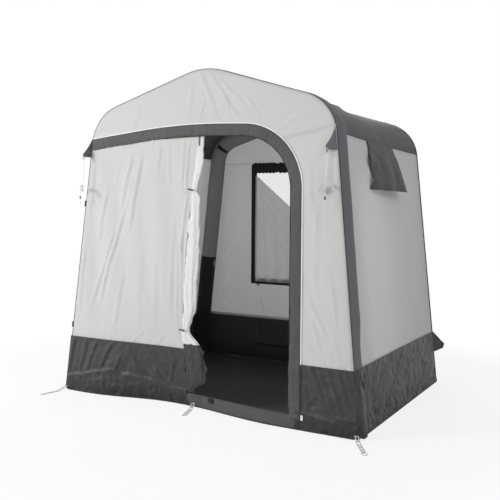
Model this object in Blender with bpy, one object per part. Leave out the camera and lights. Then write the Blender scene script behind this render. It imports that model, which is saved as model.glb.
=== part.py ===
"""Inflatable storage tent: two air beams carry a gabled cloth house with mud skirts, a floor and a roll-back door."""

import math

import bmesh
import bpy
from mathutils import Matrix, Vector

# Overall size, in metres. The front faces -Y, and the origin is on the ground at the middle of the floor.
BASE_WIDTH = 2.000
BASE_DEPTH = 1.540
EAVE_HEIGHT = 1.747
PEAK_HEIGHT = 1.994
SIDE_LEAN = 0.110
FRONT_LEAN = 0.0227
SHOULDER_RADIUS = 0.260
PEAK_RADIUS = 0.430
SKIRT_HEIGHT = 0.352
ROOF_EDGE_HEIGHT = 1.585
PANEL_SEAM_HEIGHT = 1.575

# Cloth, seams and slack
CLOTH = 0.003
SEAM_GAP = 0.0003
SEAM_LAP = 0.020
ROOF_SAG = 0.022
WALL_SAG = 0.010
HEM_RECESS = 0.100
HEM_RECESS_AT = -0.220
HEM_RECESS_LEFT = 0.620
HEM_RECESS_RIGHT = 0.760
HEM_RECESS_RISE = 0.750
PANEL_FOLD = 0.007
SKIRT_FOLD = 0.006
HEM_ROLL = 0.012
SIDE_FOLD = 0.005

# Air beams, their sleeves and their valves
FRONT_SLEEVE_WIDTH = 0.140
FRONT_SLEEVE_BULGE = 0.030
FRONT_SLEEVE_RIM = 0.045
FOOT_BULGE_SHARE = 0.50
FOOT_BULGE_HEIGHT = 0.290
REAR_SLEEVE_RADIUS = 0.058
SLEEVE_WALL = 0.003
BEAM_WALL = 0.002
BEAM_CLEARANCE = 0.002
BEAM_FOOT = 0.030
BEAM_SIDES = 12
VALVE_HEIGHT = 0.265
VALVE_STEM_RADIUS = 0.008
VALVE_FLANGE_RADIUS = 0.014
VALVE_FLANGE = 0.003
VALVE_NECK = 0.002
VALVE_CAP_RADIUS = 0.011
VALVE_CAP_LENGTH = 0.006
VALVE_GRIPS = 8
RUNNING_GAP = 0.0005
SLIT_LENGTH = 0.150
SLIT_WIDTH = 0.012
FLAP_LENGTH = 0.105
FLAP_THICKNESS = 0.0016

# Door opening, its zip and the cover flap over the zip
DOOR_EDGE_X = 0.634
DOOR_EDGE_LEAN = 0.022
ZIP_LEFT_HEIGHT = 1.568
ZIP_CROWN_X = -0.150
ZIP_CROWN_HEIGHT = 1.637
ZIP_CROWN_RADIUS = 5.000
ZIP_CORNER_HEIGHT = 1.600
ZIP_CORNER_RADIUS = 0.340
ZIP_END_HEIGHT = 0.055
ZIP_WIDTH = 0.012
COVER_WIDTH = 0.070
SLIDER_LENGTH = 0.014
SLIDER_WIDTH = 0.010
SLIDER_DEPTH = 0.0045
SLIDER_TRAVEL = 0.250
PULL_WIDTH = 0.008
PULL_LENGTH = 0.082
PULL_THICKNESS = 0.0014
PULL_PIVOT_RADIUS = 0.0022
ZIP_BOX_WIDTH = 0.012
ZIP_BOX_HEIGHT = 0.028
SILL_HEIGHT = 0.080
PATCH_FROM_SEAM = 0.165
PATCH_WIDTH = 0.036
PATCH_LOW = 0.045
PATCH_HIGH = 0.077
SEAM_X = -0.120
SEAM_CURVE = 0.126 / BASE_WIDTH
SEAM_CURVE_HEIGHT = 0.400

# Door curtain, rolled aside and tied at two places
CURTAIN_TOP_HEIGHT = ZIP_CROWN_HEIGHT - 0.033
CURTAIN_BREAK_HEIGHT = 0.385
CURTAIN_FOOT_HEIGHT = 0.090
CURTAIN_POINTS = 24
CURTAIN_PLEATS = 6
UPPER_TIE_HEIGHT = 1.285
LOWER_TIE_HEIGHT = 0.465
TIE_WIDTH = 0.008
TIE_THICKNESS = 0.002
TIE_WAIST = 0.024
TOGGLE_LENGTH = 0.036
TOGGLE_RADIUS = 0.0045
CORNER_TOGGLE_UPPER = 1.200
CORNER_TOGGLE_LOWER = 0.425

# Vent hood and mesh on the right wall
VENT_LOW = 1.400
VENT_HIGH = 1.530
VENT_FRONT = -0.200
VENT_REAR = 0.140
HOOD_FRONT = -0.265
HOOD_REAR = 0.205
HOOD_DROP = 0.270
HOOD_OUT_FRONT = 0.035
HOOD_OUT_REAR = 0.105

# Window in the back wall
WINDOW_HALF_WIDTH = 0.452
WINDOW_LOW = 0.640
WINDOW_HIGH = 1.500
WINDOW_FRAME = 0.036
WINDOW_LIP = 0.012
PANE = 0.001
BLIND_HEIGHT = 0.070
BLIND_DEPTH = 0.036
DRAPE_FOLD = 0.006
DRAPE_CLOTH = 0.0015
DRAPE_OVERHANG = 0.018

# Guy lines with their gussets, rings and runners
GUSSET_TOP = 1.610
GUSSET_FOOT = 1.490
GUSSET_OUT = 0.052
GUSSET_STANDOFF = 0.022
GUSSET_THICKNESS = 0.002
GUY_EYE_RADIUS = 0.0034
GUY_RING_RADIUS = 0.009
GUY_RING_WIRE = 0.0015
CORD = 0.0026
CORD_GAP = 0.0012
GUY_DROP = 0.150
RIGHT_HANK_LOOPS = 6
LEFT_HANK_LOOPS = 4
HANK_SPAN = 0.096
HANK_DROOP = 0.034
HANK_HEIGHT = 0.032
HANK_WAIST = 0.27
HANK_SHIFT = 0.006
LOOP_POINTS = 20
TAIL_LENGTH = 0.105
RUNNER_LENGTH = 0.018
RUNNER_WIDTH = 0.011
RUNNER_BORE = 0.0018

# Peg straps and the ring at the end of one
STRAP_WIDTH = 0.022
STRAP_THICKNESS = 0.0024
STRAP_SLOT_WIDTH = 0.011
STRAP_SLOT_LENGTH = 0.028
STRAP_RUNG = 0.010
STRAP_SLOTS = 5
STRAP_ROOT_HEIGHT = 0.024
PEG_RING_RADIUS = 0.0145
PEG_RING_WIRE = 0.0018
EYE_LENGTH = 0.005
EYE_WALL = 0.0016

COLOURS = {
    "light_cloth": (208, 0.85),
    "side_cloth": (200, 0.85),
    "roof_cloth": (78, 0.80),
    "sleeve_cloth": (92, 0.80),
    "skirt_cloth": (74, 0.75),
    "zip_cover": (86, 0.80),
    "floor_cloth": (40, 0.60),
    "black_trim": (24, 0.60),
    "beam_film": (150, 0.35),
    "valve_plastic": (34, 0.45),
    "window_film": (225, 0.08),
    "curtain_cloth": (170, 0.85),
    "mesh_cloth": (30, 0.80),
    "guy_cord": (225, 0.70),
    "strap_rubber": (150, 0.55),
    "ring_steel": (150, 0.30),
    "white_plastic": (220, 0.40),
}
METALS = ("ring_steel",)
UP = Vector((0, 0, 1))


def linear(shade):
    """A grey given on the 0 to 255 display scale, as the linear value that a shader takes."""
    value = shade / 255
    return value / 12.92 if value <= 0.04045 else ((value + 0.055) / 1.055) ** 2.4


def material(name):
    """The Principled material of one finish, made once."""
    found = bpy.data.materials.get(name)
    if found:
        return found
    shade, roughness = COLOURS[name]
    made = bpy.data.materials.new(name)
    made.use_nodes = True
    shader = made.node_tree.nodes["Principled BSDF"]
    grey = linear(shade)
    shader.inputs["Base Color"].default_value = (grey, grey, grey, 1)
    shader.inputs["Roughness"].default_value = roughness
    shader.inputs["Metallic"].default_value = 1.0 if name in METALS else 0.0
    shader.inputs["Alpha"].default_value = 0.35 if name == "window_film" else 1.0
    made.diffuse_color = (grey, grey, grey, 1)
    return made


def clear_scene():
    for old in list(bpy.data.objects):
        bpy.data.objects.remove(old, do_unlink=True)


def mesh_object(name, points, faces, finish, origin=None, smooth=True, inner_from=None):
    """A named object from world points, its faces turned outward. Points from inner_from on line a hollow."""
    origin = Vector(origin or (0, 0, 0))
    mesh = bpy.data.meshes.new(name)
    mesh.from_pydata([Vector(p) - origin for p in points], [], faces)
    shaped = bmesh.new()
    shaped.from_mesh(mesh)
    bmesh.ops.recalc_face_normals(shaped, faces=shaped.faces)
    if inner_from is not None:
        lining = [face for face in shaped.faces if all(v.index >= inner_from for v in face.verts)]
        bmesh.ops.reverse_faces(shaped, faces=lining)
    shaped.to_mesh(mesh)
    shaped.free()
    if smooth:
        mesh.shade_smooth()
        mesh.set_sharp_from_angle(angle=math.radians(40))
    mesh.materials.append(material(finish))
    made = bpy.data.objects.new(name, mesh)
    made.location = origin
    bpy.context.scene.collection.objects.link(made)
    return made


def sheet(name, columns, rows, surface, finish, **options):
    """A closed sheet. surface(column, row, side) is its point, with side 0 on one face and 1 on the other."""
    wide = len(columns)
    tall = len(rows)
    points = [surface(c, r, side) for side in (0, 1) for c in columns for r in rows]

    def at(side, i, j):
        return side * wide * tall + i * tall + j

    faces = []
    for side in (0, 1):
        for i in range(wide - 1):
            for j in range(tall - 1):
                faces.append([at(side, i, j), at(side, i + 1, j), at(side, i + 1, j + 1), at(side, i, j + 1)])
    for i in range(wide - 1):
        for j in (0, tall - 1):
            faces.append([at(0, i, j), at(0, i + 1, j), at(1, i + 1, j), at(1, i, j)])
    for j in range(tall - 1):
        for i in (0, wide - 1):
            faces.append([at(0, i, j), at(0, i, j + 1), at(1, i, j + 1), at(1, i, j)])
    return mesh_object(name, points, faces, finish, **options)


def loft(name, rings, finish, closed=False, **options):
    """A solid through rings of equally many points, capped at both ends unless the rings close on themselves."""
    size = len(rings[0])
    points = [p for ring in rings for p in ring]
    faces = []
    for k in range(len(rings) if closed else len(rings) - 1):
        here = k * size
        there = (k + 1) % len(rings) * size
        for i in range(size):
            j = (i + 1) % size
            faces.append([here + i, here + j, there + j, there + i])
    if not closed:
        faces.append(list(range(size)))
        faces.append(list(range(len(points) - size, len(points))))
    return mesh_object(name, points, faces, finish, **options)


def prism(name, first, second, finish, **options):
    """A solid between two outlines of equally many corners."""
    return loft(name, [first, second], finish, smooth=False, **options)


def tube_shell(name, outer, inner, finish, capped=False, **options):
    """A hollow tube through pairs of rings, open at its ends or closed over them."""
    size = len(outer[0])
    count = len(outer)
    points = [p for ring in outer for p in ring] + [p for ring in inner for p in ring]
    faces = []
    for base in (0, count * size):
        for k in range(count - 1):
            for i in range(size):
                j = (i + 1) % size
                here = base + k * size
                faces.append([here + i, here + j, here + size + j, here + size + i])
    for k in (0, count - 1):
        near = k * size
        far = count * size + k * size
        if capped:
            faces.append(list(range(near, near + size)))
            faces.append(list(range(far, far + size)))
            continue
        for i in range(size):
            j = (i + 1) % size
            faces.append([near + i, near + j, far + j, far + i])
    lining = count * size if capped else None
    return mesh_object(name, points, faces, finish, inner_from=lining, **options)


def axes_of(direction):
    """Two unit vectors square to a direction and to each other."""
    along = Vector(direction).normalized()
    side = along.cross(UP)
    if side.length < 0.1:
        side = Vector((1, 0, 0))
    side.normalize()
    return side, side.cross(along)


def circle(centre, side, up, radius, sides):
    """The corners of a regular polygon."""
    angles = [2 * math.pi * i / sides for i in range(sides)]
    return [centre + (side * math.cos(a) + up * math.sin(a)) * radius for a in angles]


def turned(name, centre, direction, profile, sides, finish, **options):
    """A turned piece. profile lists (distance along the axis, radius), from one end to the other."""
    centre = Vector(centre)
    along = Vector(direction).normalized()
    side, up = axes_of(along)
    rings = [circle(centre + along * distance, side, up, radius, sides) for distance, radius in profile]
    return loft(name, rings, finish, **options)


def wire_ring(name, centre, across, down, radius, wire, finish, steps=16, **options):
    """A round wire ring in the plane of two unit vectors."""
    centre = Vector(centre)
    across = Vector(across).normalized()
    down = Vector(down).normalized()
    normal = across.cross(down)
    rings = []
    for k in range(steps):
        angle = 2 * math.pi * k / steps
        outward = across * math.cos(angle) + down * math.sin(angle)
        rings.append(circle(centre + outward * radius, outward, normal, wire, 6))
    return loft(name, rings, finish, closed=True, **options)


def cut(target, tool):
    """Takes a tool away from a piece."""
    tool.hide_render = True
    tool.display_type = "WIRE"
    modifier = target.modifiers.new("cut_" + tool.name, "BOOLEAN")
    modifier.operation = "DIFFERENCE"
    modifier.object = tool


def join(target, tool):
    """Fuses a tool with a piece."""
    tool.hide_render = True
    tool.display_type = "WIRE"
    modifier = target.modifiers.new("join_" + tool.name, "BOOLEAN")
    modifier.operation = "UNION"
    modifier.object = tool


def drill(target, name, centre, direction, radius, reach, sides=12):
    """Bores a round hole through a piece, reach to either side of its centre."""
    side, up = axes_of(direction)
    along = Vector(direction).normalized() * reach
    rings = [circle(centre - along, side, up, radius, sides), circle(centre + along, side, up, radius, sides)]
    cut(target, prism(name, *rings, "black_trim"))


class RoundedPath:
    """A flat path through corners, each inner corner rounded, measured along its length."""

    def __init__(self, corners, radii):
        corners = [Vector(c) for c in corners]
        self.pieces = []
        self.length = 0.0
        start = corners[0]
        for k, radius in enumerate(radii, 1):
            into = (corners[k] - corners[k - 1]).normalized()
            out = (corners[k + 1] - corners[k]).normalized()
            turn = into.angle_signed(out, 0.0)
            room = min((corners[k] - corners[k - 1]).length, (corners[k + 1] - corners[k]).length)
            setback = min(radius * math.tan(abs(turn) / 2), 0.49 * room)
            radius = setback / math.tan(abs(turn) / 2)
            begin = corners[k] - into * setback
            self.add_line(start, begin)
            self.add_arc(begin, into, -turn, radius)
            start = corners[k] + out * setback
        self.add_line(start, corners[-1])

    def add_line(self, start, end):
        length = (end - start).length
        self.pieces.append((self.length, length, start, (end - start).normalized(), 0.0, 0.0))
        self.length += length

    def add_arc(self, start, heading, turn, radius):
        length = radius * abs(turn)
        self.pieces.append((self.length, length, start, heading, turn, radius))
        self.length += length

    def at(self, distance):
        """The point and the heading at a distance along the path."""
        pieces = [piece for piece in self.pieces if piece[0] <= distance] or self.pieces[:1]
        begin, length, start, heading, turn, radius = pieces[-1]
        run = distance - begin
        if not turn:
            return start + heading * run, heading
        spoke = Vector((-heading.y, heading.x)) * math.copysign(radius, turn)
        rotate = Matrix.Rotation(turn * run / length, 2)
        return start + spoke - rotate @ spoke, rotate @ heading

    def stations(self, begin, end, arc_angle, arc_step, line_step, extras=()):
        """Distances from begin to end: arcs split by angle and length, lines by length, and the extras kept."""
        marks = [begin, end, *extras]
        for at, length, _, _, turn, _ in self.pieces:
            fine = max(2, round(abs(turn) / arc_angle), round(length / arc_step))
            count = fine if turn else max(1, round(length / line_step))
            marks += [at + length * i / count for i in range(count + 1)]
        kept = []
        for mark in sorted(m for m in marks if begin <= m <= end):
            if not kept or mark - kept[-1] > 1e-4:
                kept.append(mark)
        return kept


def bisect(low, high, before):
    """Where a test stops being true between two values."""
    for _ in range(50):
        middle = (low + high) / 2
        if before(middle):
            low = middle
        else:
            high = middle
    return low


def between(line, value, key, other):
    """A polyline's other coordinate where its key coordinate, 0 or 1, has a value."""
    for first, second in zip(line, line[1:]):
        low, high = sorted((first[key], second[key]))
        if low <= value <= high and high > low:
            share = (value - first[key]) / (second[key] - first[key])
            return first[other] + (second[other] - first[other]) * share
    ends = (line[0], line[-1])
    return min(ends, key=lambda point: abs(point[key] - value))[other]


def spread(count):
    return [k / count for k in range(count + 1)]


def eased(value):
    """0 below 0, 1 above 1, and a smooth step between."""
    value = min(max(value, 0.0), 1.0)
    return value * value * (3 - 2 * value)


def hump(value, low, high):
    """A smooth hump from 0 at low to 1 midway and back to 0 at high."""
    if not low < value < high:
        return 0.0
    return math.sin(math.pi * (value - low) / (high - low)) ** 2


def half_width(z):
    return BASE_WIDTH / 2 - SIDE_LEAN * z


def half_depth(z):
    return BASE_DEPTH / 2 - FRONT_LEAN * z


def gable_outline():
    """The front's outline, up the right side, over the peak and down the left."""
    foot = half_width(0)
    eave = half_width(EAVE_HEIGHT)
    corners = [(foot, 0), (eave, EAVE_HEIGHT), (0, PEAK_HEIGHT), (-eave, EAVE_HEIGHT), (-foot, 0)]
    return RoundedPath(corners, [SHOULDER_RADIUS, PEAK_RADIUS, SHOULDER_RADIUS])


def zip_route():
    """The zip's line, from the left edge over the door and down its right side."""
    corners = [
        (-edge_x(ZIP_LEFT_HEIGHT) + COVER_WIDTH * 0.15, ZIP_LEFT_HEIGHT),
        (ZIP_CROWN_X, ZIP_CROWN_HEIGHT),
        (door_edge_x(ZIP_CORNER_HEIGHT), ZIP_CORNER_HEIGHT),
        (door_edge_x(ZIP_END_HEIGHT), ZIP_END_HEIGHT),
    ]
    return RoundedPath(corners, [ZIP_CROWN_RADIUS, ZIP_CORNER_RADIUS])


def along_at_height(height):
    """The distance along the outline, up the right side, at which it has a height."""
    return bisect(0.0, OUTLINE.length / 2, lambda s: OUTLINE.at(s)[0].y < height)


def edge_x(z):
    """Half the width of the front at a height, up to the peak."""
    return OUTLINE.at(along_at_height(z))[0].x


def door_edge_x(z):
    return DOOR_EDGE_X - DOOR_EDGE_LEAN * z


def seam_x(z):
    """Where the fixed left panel ends and the rolled door begins."""
    return SEAM_X + SEAM_CURVE * (z - SEAM_CURVE_HEIGHT) ** 2


def zip_side(offset):
    """The zip's line moved sideways, outward of the door for a positive offset, at its stations."""
    line = []
    for along in ZIP_STATIONS:
        point, heading = ZIP.at(along)
        line.append(point + Vector((-heading.y, heading.x)) * offset)
    return line


def hem_slack(x, z):
    """How far the unpegged front hem is drawn in, most beside the rolled door and least at the corners."""
    reach = HEM_RECESS_LEFT if x < HEM_RECESS_AT else HEM_RECESS_RIGHT
    away = abs(x - HEM_RECESS_AT) / reach
    if away >= 1 or z >= HEM_RECESS_RISE:
        return 0.0
    return HEM_RECESS * math.cos(away * math.pi / 2) ** 2 * (1 - z / HEM_RECESS_RISE) ** 2


def front_point(x, z, out):
    """A point in front of the cloth line of the front, out from it."""
    return Vector((x, -half_depth(z) + hem_slack(x, z) - out, z))


def back_point(x, z, out):
    return Vector((x, half_depth(z) + out, z))


def free_cloth(z):
    """The depths between which the side and roof cloth spans free, from the front sleeve to the rear one."""
    front = -half_depth(z) + FRONT_SLEEVE_WIDTH + 2 * SEAM_GAP
    return front, half_depth(z) - 2 * REAR_SLEEVE_RADIUS - 4 * SEAM_GAP


def sag(y, z):
    """How far the side or roof cloth hangs in between the beams."""
    front, rear = free_cloth(z)
    share = math.sin(math.pi * min(max((y - front) / (rear - front), 0.0), 1.0))
    if z <= ROOF_EDGE_HEIGHT:
        return share * WALL_SAG * math.sqrt(max(z, 0) / ROOF_EDGE_HEIGHT)
    up = min((z - ROOF_EDGE_HEIGHT) / (EAVE_HEIGHT - ROOF_EDGE_HEIGHT), 1.0)
    return share * (WALL_SAG + (ROOF_SAG - WALL_SAG) * up)


def side_point(along, y, out, hand=1):
    """A point on the side or roof, out from its cloth line."""
    point, heading = OUTLINE.at(along)
    shift = out - sag(y, point.y)
    return Vector((hand * (point.x + heading.y * shift), y, point.y - heading.x * shift))


def span_point(along, share, out, hand=1):
    """A point behind the front sleeve: share 0 at its seam, SPAN_FREE at the rear sleeve and 1 at the back."""
    height = OUTLINE.at(along)[0].y
    front, rear = free_cloth(height)
    back = half_depth(height) - SEAM_GAP
    if share <= SPAN_FREE:
        y = front + (rear - front) * share / SPAN_FREE
    else:
        y = rear + (back - rear) * (share - SPAN_FREE) / (1 - SPAN_FREE)
    return side_point(along, y, out, hand)


def sleeve_bulge(share, z):
    """How far the front sleeve stands out, across its width. Its feet and its top, under the gable's cloth, are flatter."""
    rise = (z - FOOT_BULGE_HEIGHT) / (SKIRT_HEIGHT - SEAM_LAP - FOOT_BULGE_HEIGHT)
    crown = FOOT_BULGE_SHARE + (1 - FOOT_BULGE_SHARE) * eased(rise)
    return FRONT_SLEEVE_BULGE * crown * (1 - (2 * share - 1) ** 2)


def front_sleeve_section(inset, z):
    """The front sleeve across its width: crowned outward between its two seams, and round inward."""
    half = FRONT_SLEEVE_WIDTH / 2
    ring = [(FRONT_SLEEVE_WIDTH * k / 4, sleeve_bulge(k / 4, z)) for k in range(5)]
    for k in range(7):
        angle = math.radians(-30 * k)
        ring.append((half + half * math.cos(angle), -FRONT_SLEEVE_RIM + half * math.sin(angle)))
    scale = 1 - inset / half
    middle = -FRONT_SLEEVE_RIM / 2
    return [(half + (q - half) * scale, middle + (d - middle) * scale) for q, d in ring]


def rear_sleeve_section(inset, _z=0.0):
    """The rear sleeve, a round tube just inside the side and back cloth."""
    radius = (REAR_SLEEVE_RADIUS - inset) / math.cos(math.pi / BEAM_SIDES)
    ring = []
    for k in range(BEAM_SIDES):
        angle = 2 * math.pi * (k + 0.5) / BEAM_SIDES
        across = REAR_SLEEVE_RADIUS + SEAM_GAP + radius * math.cos(angle)
        ring.append((across, -CLOTH - SEAM_GAP - REAR_SLEEVE_RADIUS + radius * math.sin(angle)))
    return ring


def arch_ring(section, inset, along, facing):
    """A section of a sleeve at a distance along the outline. facing is -1 at the front and 1 at the back."""
    point, heading = OUTLINE.at(along)
    ring = []
    for across, out in section(inset, point.y):
        z = point.y - heading.x * out
        ring.append(Vector((point.x + heading.y * out, facing * (half_depth(z) - SEAM_GAP - across), z)))
    return ring


def front_valve_seat():
    """The crown of the right foot of the front sleeve, and the way out of it."""
    point, heading = OUTLINE.at(along_at_height(VALVE_HEIGHT))
    outward = Vector((heading.y, 0, -heading.x))
    y = -half_depth(point.y) + SEAM_GAP + FRONT_SLEEVE_WIDTH / 2
    return Vector((point.x, y, point.y)) + outward * sleeve_bulge(0.5, point.y), outward


def rear_valve_seat():
    """The back of the right leg of the rear sleeve, and the way out of it."""
    point, heading = OUTLINE.at(along_at_height(VALVE_HEIGHT))
    inset = -CLOTH - SEAM_GAP - REAR_SLEEVE_RADIUS
    x = point.x + heading.y * inset
    z = point.y - heading.x * inset
    return Vector((x, half_depth(z) - SEAM_GAP, z)), Vector((0, 1, FRONT_LEAN)).normalized()


def make_beams():
    """Each beam is a film tube in a cloth sleeve. Its valve's stem goes through both."""
    inset = SLEEVE_WALL + BEAM_CLEARANCE
    for place, section, facing, (seat, outward) in (
        ("front", front_sleeve_section, -1, front_valve_seat()),
        ("rear", rear_sleeve_section, 1, rear_valve_seat()),
    ):
        outer = [arch_ring(section, 0, s, facing) for s in ARCH_STATIONS]
        inner = [arch_ring(section, SLEEVE_WALL, s, facing) for s in ARCH_STATIONS]
        sleeve = tube_shell(place + "_beam_sleeve", outer, inner, "sleeve_cloth")
        outer = [arch_ring(section, inset, s, facing)[::2] for s in ARCH_STATIONS]
        inner = [arch_ring(section, inset + BEAM_WALL, s, facing)[::2] for s in ARCH_STATIONS]
        beam = tube_shell(place + "_air_beam", outer, inner, "beam_film", capped=True)
        radius = VALVE_STEM_RADIUS + SEAM_GAP
        reach = FRONT_SLEEVE_WIDTH / 4
        drill(sleeve, place + "_sleeve_port", seat, outward, radius, reach)
        drill(beam, place + "_beam_port", seat, outward, radius, reach)
        make_valve(place, seat, outward)


def make_valve(place, seat, outward):
    """A flanged valve body and its ribbed cap, which turns on the stem's axis."""
    depth = SLEEVE_WALL + BEAM_CLEARANCE + BEAM_WALL + VALVE_STEM_RADIUS * 1.5
    brim = SEAM_GAP + VALVE_FLANGE
    body = [
        (-depth, VALVE_STEM_RADIUS * 0.8),
        (-depth + 0.002, VALVE_STEM_RADIUS),
        (SEAM_GAP, VALVE_STEM_RADIUS),
        (SEAM_GAP, VALVE_FLANGE_RADIUS),
        (brim - VALVE_FLANGE / 4, VALVE_FLANGE_RADIUS),
        (brim, VALVE_FLANGE_RADIUS - VALVE_FLANGE / 4),
        (brim, VALVE_STEM_RADIUS),
        (brim + VALVE_NECK, VALVE_STEM_RADIUS),
    ]
    turned(place + "_valve", seat, outward, body, 12, "valve_plastic")
    foot = seat + outward * (brim + VALVE_NECK + RUNNING_GAP)
    side, up = axes_of(outward)
    rings = []
    for share, shrink in ((0, 0.0), (0.75, 0.0), (1, 0.2)):
        middle = foot + outward * VALVE_CAP_LENGTH * share
        ring = circle(middle, side, up, VALVE_CAP_RADIUS * (1 - shrink), 2 * VALVE_GRIPS)
        rings.append([middle + (p - middle) * (0.9 if i % 2 else 1) for i, p in enumerate(ring)])
    loft(place + "_valve_cap", rings, "valve_plastic", origin=foot)
    print(place, "cap", [round(v, 5) for v in foot], [round(v, 5) for v in outward])


def make_roof():
    edge = along_at_height(ROOF_EDGE_HEIGHT)
    far = OUTLINE.length - edge
    stations = [s for s in ARCH_STATIONS if edge + SEAM_LAP / 4 < s < far - SEAM_LAP / 4]
    columns = [edge + SEAM_GAP / 2, *stations, far - SEAM_GAP / 2]
    sheet("roof_panel", columns, SPAN_ROWS, lambda c, r, side: span_point(c, r, (side - 1) * CLOTH), "roof_cloth")


def make_side_walls():
    low = along_at_height(SKIRT_HEIGHT - SEAM_LAP)
    lap = along_at_height(SKIRT_HEIGHT)
    high = along_at_height(ROOF_EDGE_HEIGHT) - SEAM_GAP / 2
    rows = [low, *[lap + (high - lap) * share for share in spread(5)]]
    for hand, place in ((1, "right"), (-1, "left")):

        def surface(share, along, side, hand=hand):
            return span_point(along, share, (side - 1) * CLOTH, hand)

        wall = sheet(place + "_wall", SPAN_ROWS, rows, surface, "side_cloth")
        if hand == 1:
            inner = [Vector((edge_x(VENT_HIGH) * 0.7, y, z)) for y, z in vent_corners(0)]
            outer = [Vector((half_width(0) * 1.1, y, z)) for y, z in vent_corners(0)]
            cut(wall, prism("vent_opening", inner, outer, "black_trim"))


def vent_corners(margin):
    low, high = VENT_LOW + margin, VENT_HIGH - margin
    front, rear = VENT_FRONT + margin, VENT_REAR - margin
    return [(front, low), (rear, low), (rear, high), (front, high)]


def make_vent_mesh():
    """The insect mesh set in the opening of the right wall, lifted by what the wall's sag takes off its height."""
    (front, low), _, (rear, high), _ = vent_corners(1.5 * SEAM_GAP)

    def surface(share, rise, side):
        y = front + (rear - front) * share
        along = along_at_height(low + (high - low) * rise + SIDE_LEAN * WALL_SAG)
        return side_point(along, y, -CLOTH / 3 - side * CLOTH / 3)

    sheet("vent_mesh", spread(4), spread(2), surface, "mesh_cloth")


def side_crease(y, z):
    """Creases that stand out of a side skirt and slant up to the front, none at its edges."""
    front, _ = free_cloth(z)
    rise = hump(z, 0.0, SKIRT_HEIGHT - SEAM_LAP)
    reach = hump(y, front, half_depth(z))
    return SIDE_FOLD * rise * reach * (1 + math.sin(17 * y + 22 * z)) * 0.5


def make_side_skirts():
    seam = SKIRT_HEIGHT - SEAM_LAP
    heights = [0.0, 0.17 * seam, 0.36 * seam, 0.57 * seam, 0.78 * seam, seam, SKIRT_HEIGHT]
    columns = [("lip", -1)]
    columns += [("sleeve", share) for share in spread(4)]
    columns += [("span", share) for share in SPAN_ROWS[1:-1]]
    columns += [("lip", 1)]

    def surface(column, z, side, hand):
        kind, share = column
        along = along_at_height(z)
        depth = half_depth(z)
        out = SEAM_GAP + side * CLOTH
        if kind == "lip":
            return side_point(along, share * (depth + CLOTH), out, hand)
        if kind == "sleeve":
            bulge = sleeve_bulge(share, SKIRT_HEIGHT)
            return side_point(along, -depth + SEAM_GAP + FRONT_SLEEVE_WIDTH * share, out + bulge, hand)
        spot = span_point(along, share, out, hand)
        return spot + Vector((hand * side_crease(spot.y, z), 0, 0))

    for hand, place in ((1, "right"), (-1, "left")):

        def half(column, z, side, hand=hand):
            return surface(column, z, side, hand)

        skirt = sheet(place + "_skirt", columns, heights, half, "skirt_cloth")
        if hand == 1:
            cut_access_slit(skirt)


def cut_access_slit(skirt):
    """The slanting slit through which the front valve is reached."""
    seat, outward = front_valve_seat()
    along = Vector((0, 0.53, -0.85)).normalized()
    across = along.cross(outward).normalized()
    outline = []
    for share, width in ((-0.5, 0.3), (-0.15, 1), (0.15, 1), (0.5, 0.3)):
        outline.append(along * SLIT_LENGTH * share + across * SLIT_WIDTH / 2 * width)
    outline += [p.reflect(across) for p in reversed(outline)]
    near = [seat - outward * CLOTH + p for p in outline]
    far = [seat + outward * FRONT_SLEEVE_BULGE + p for p in outline]
    cut(skirt, prism("access_slit", near, far, "black_trim"))


def make_back():
    """The back cloth with its window opening, and the back skirt with a hole for the rear valve."""
    edge = along_at_height(SKIRT_HEIGHT - SEAM_LAP)
    far = OUTLINE.length - edge
    outline = [edge, *[s for s in ARCH_STATIONS if edge + SEAM_LAP < s < far - SEAM_LAP], far]
    corners = [OUTLINE.at(s)[0] for s in outline]
    faces = [[back_point(c.x, c.y, out) for c in corners] for out in (0, CLOTH)]
    wall = prism("back_wall", *faces, "side_cloth")
    opening = [window_rectangle(0, -CLOTH * 4), window_rectangle(0, CLOTH * 4)]
    cut(wall, prism("window_opening", *opening, "black_trim"))
    lip = CLOTH + SEAM_GAP
    seam = SKIRT_HEIGHT - SEAM_LAP
    heights = [0.0, 0.25 * seam, 0.5 * seam, 0.75 * seam, seam, SKIRT_HEIGHT]

    def surface(share, z, side):
        x = (2 * share - 1) * (half_width(z) + lip)
        reach = hump(z, 0.0, seam) * hump(x, -0.85 * half_width(z), 0.75 * half_width(z))
        crease = SIDE_FOLD * reach * (1 + math.sin(13 * x - 9 * z)) * 0.5
        return back_point(x, z, lip + side * CLOTH + crease)

    skirt = sheet("back_skirt", spread(12), heights, surface, "skirt_cloth")
    seat, outward = rear_valve_seat()
    drill(skirt, "rear_valve_hole", seat, outward, VALVE_FLANGE_RADIUS * 1.4, CLOTH * 5)


def window_rectangle(margin, out):
    """The window's four corners on the back wall, grown by a margin."""
    wide = WINDOW_HALF_WIDTH + margin
    low, high = WINDOW_LOW - margin, WINDOW_HIGH + margin
    return [back_point(x, z, out) for x, z in ((-wide, low), (wide, low), (wide, high), (-wide, high))]


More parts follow.
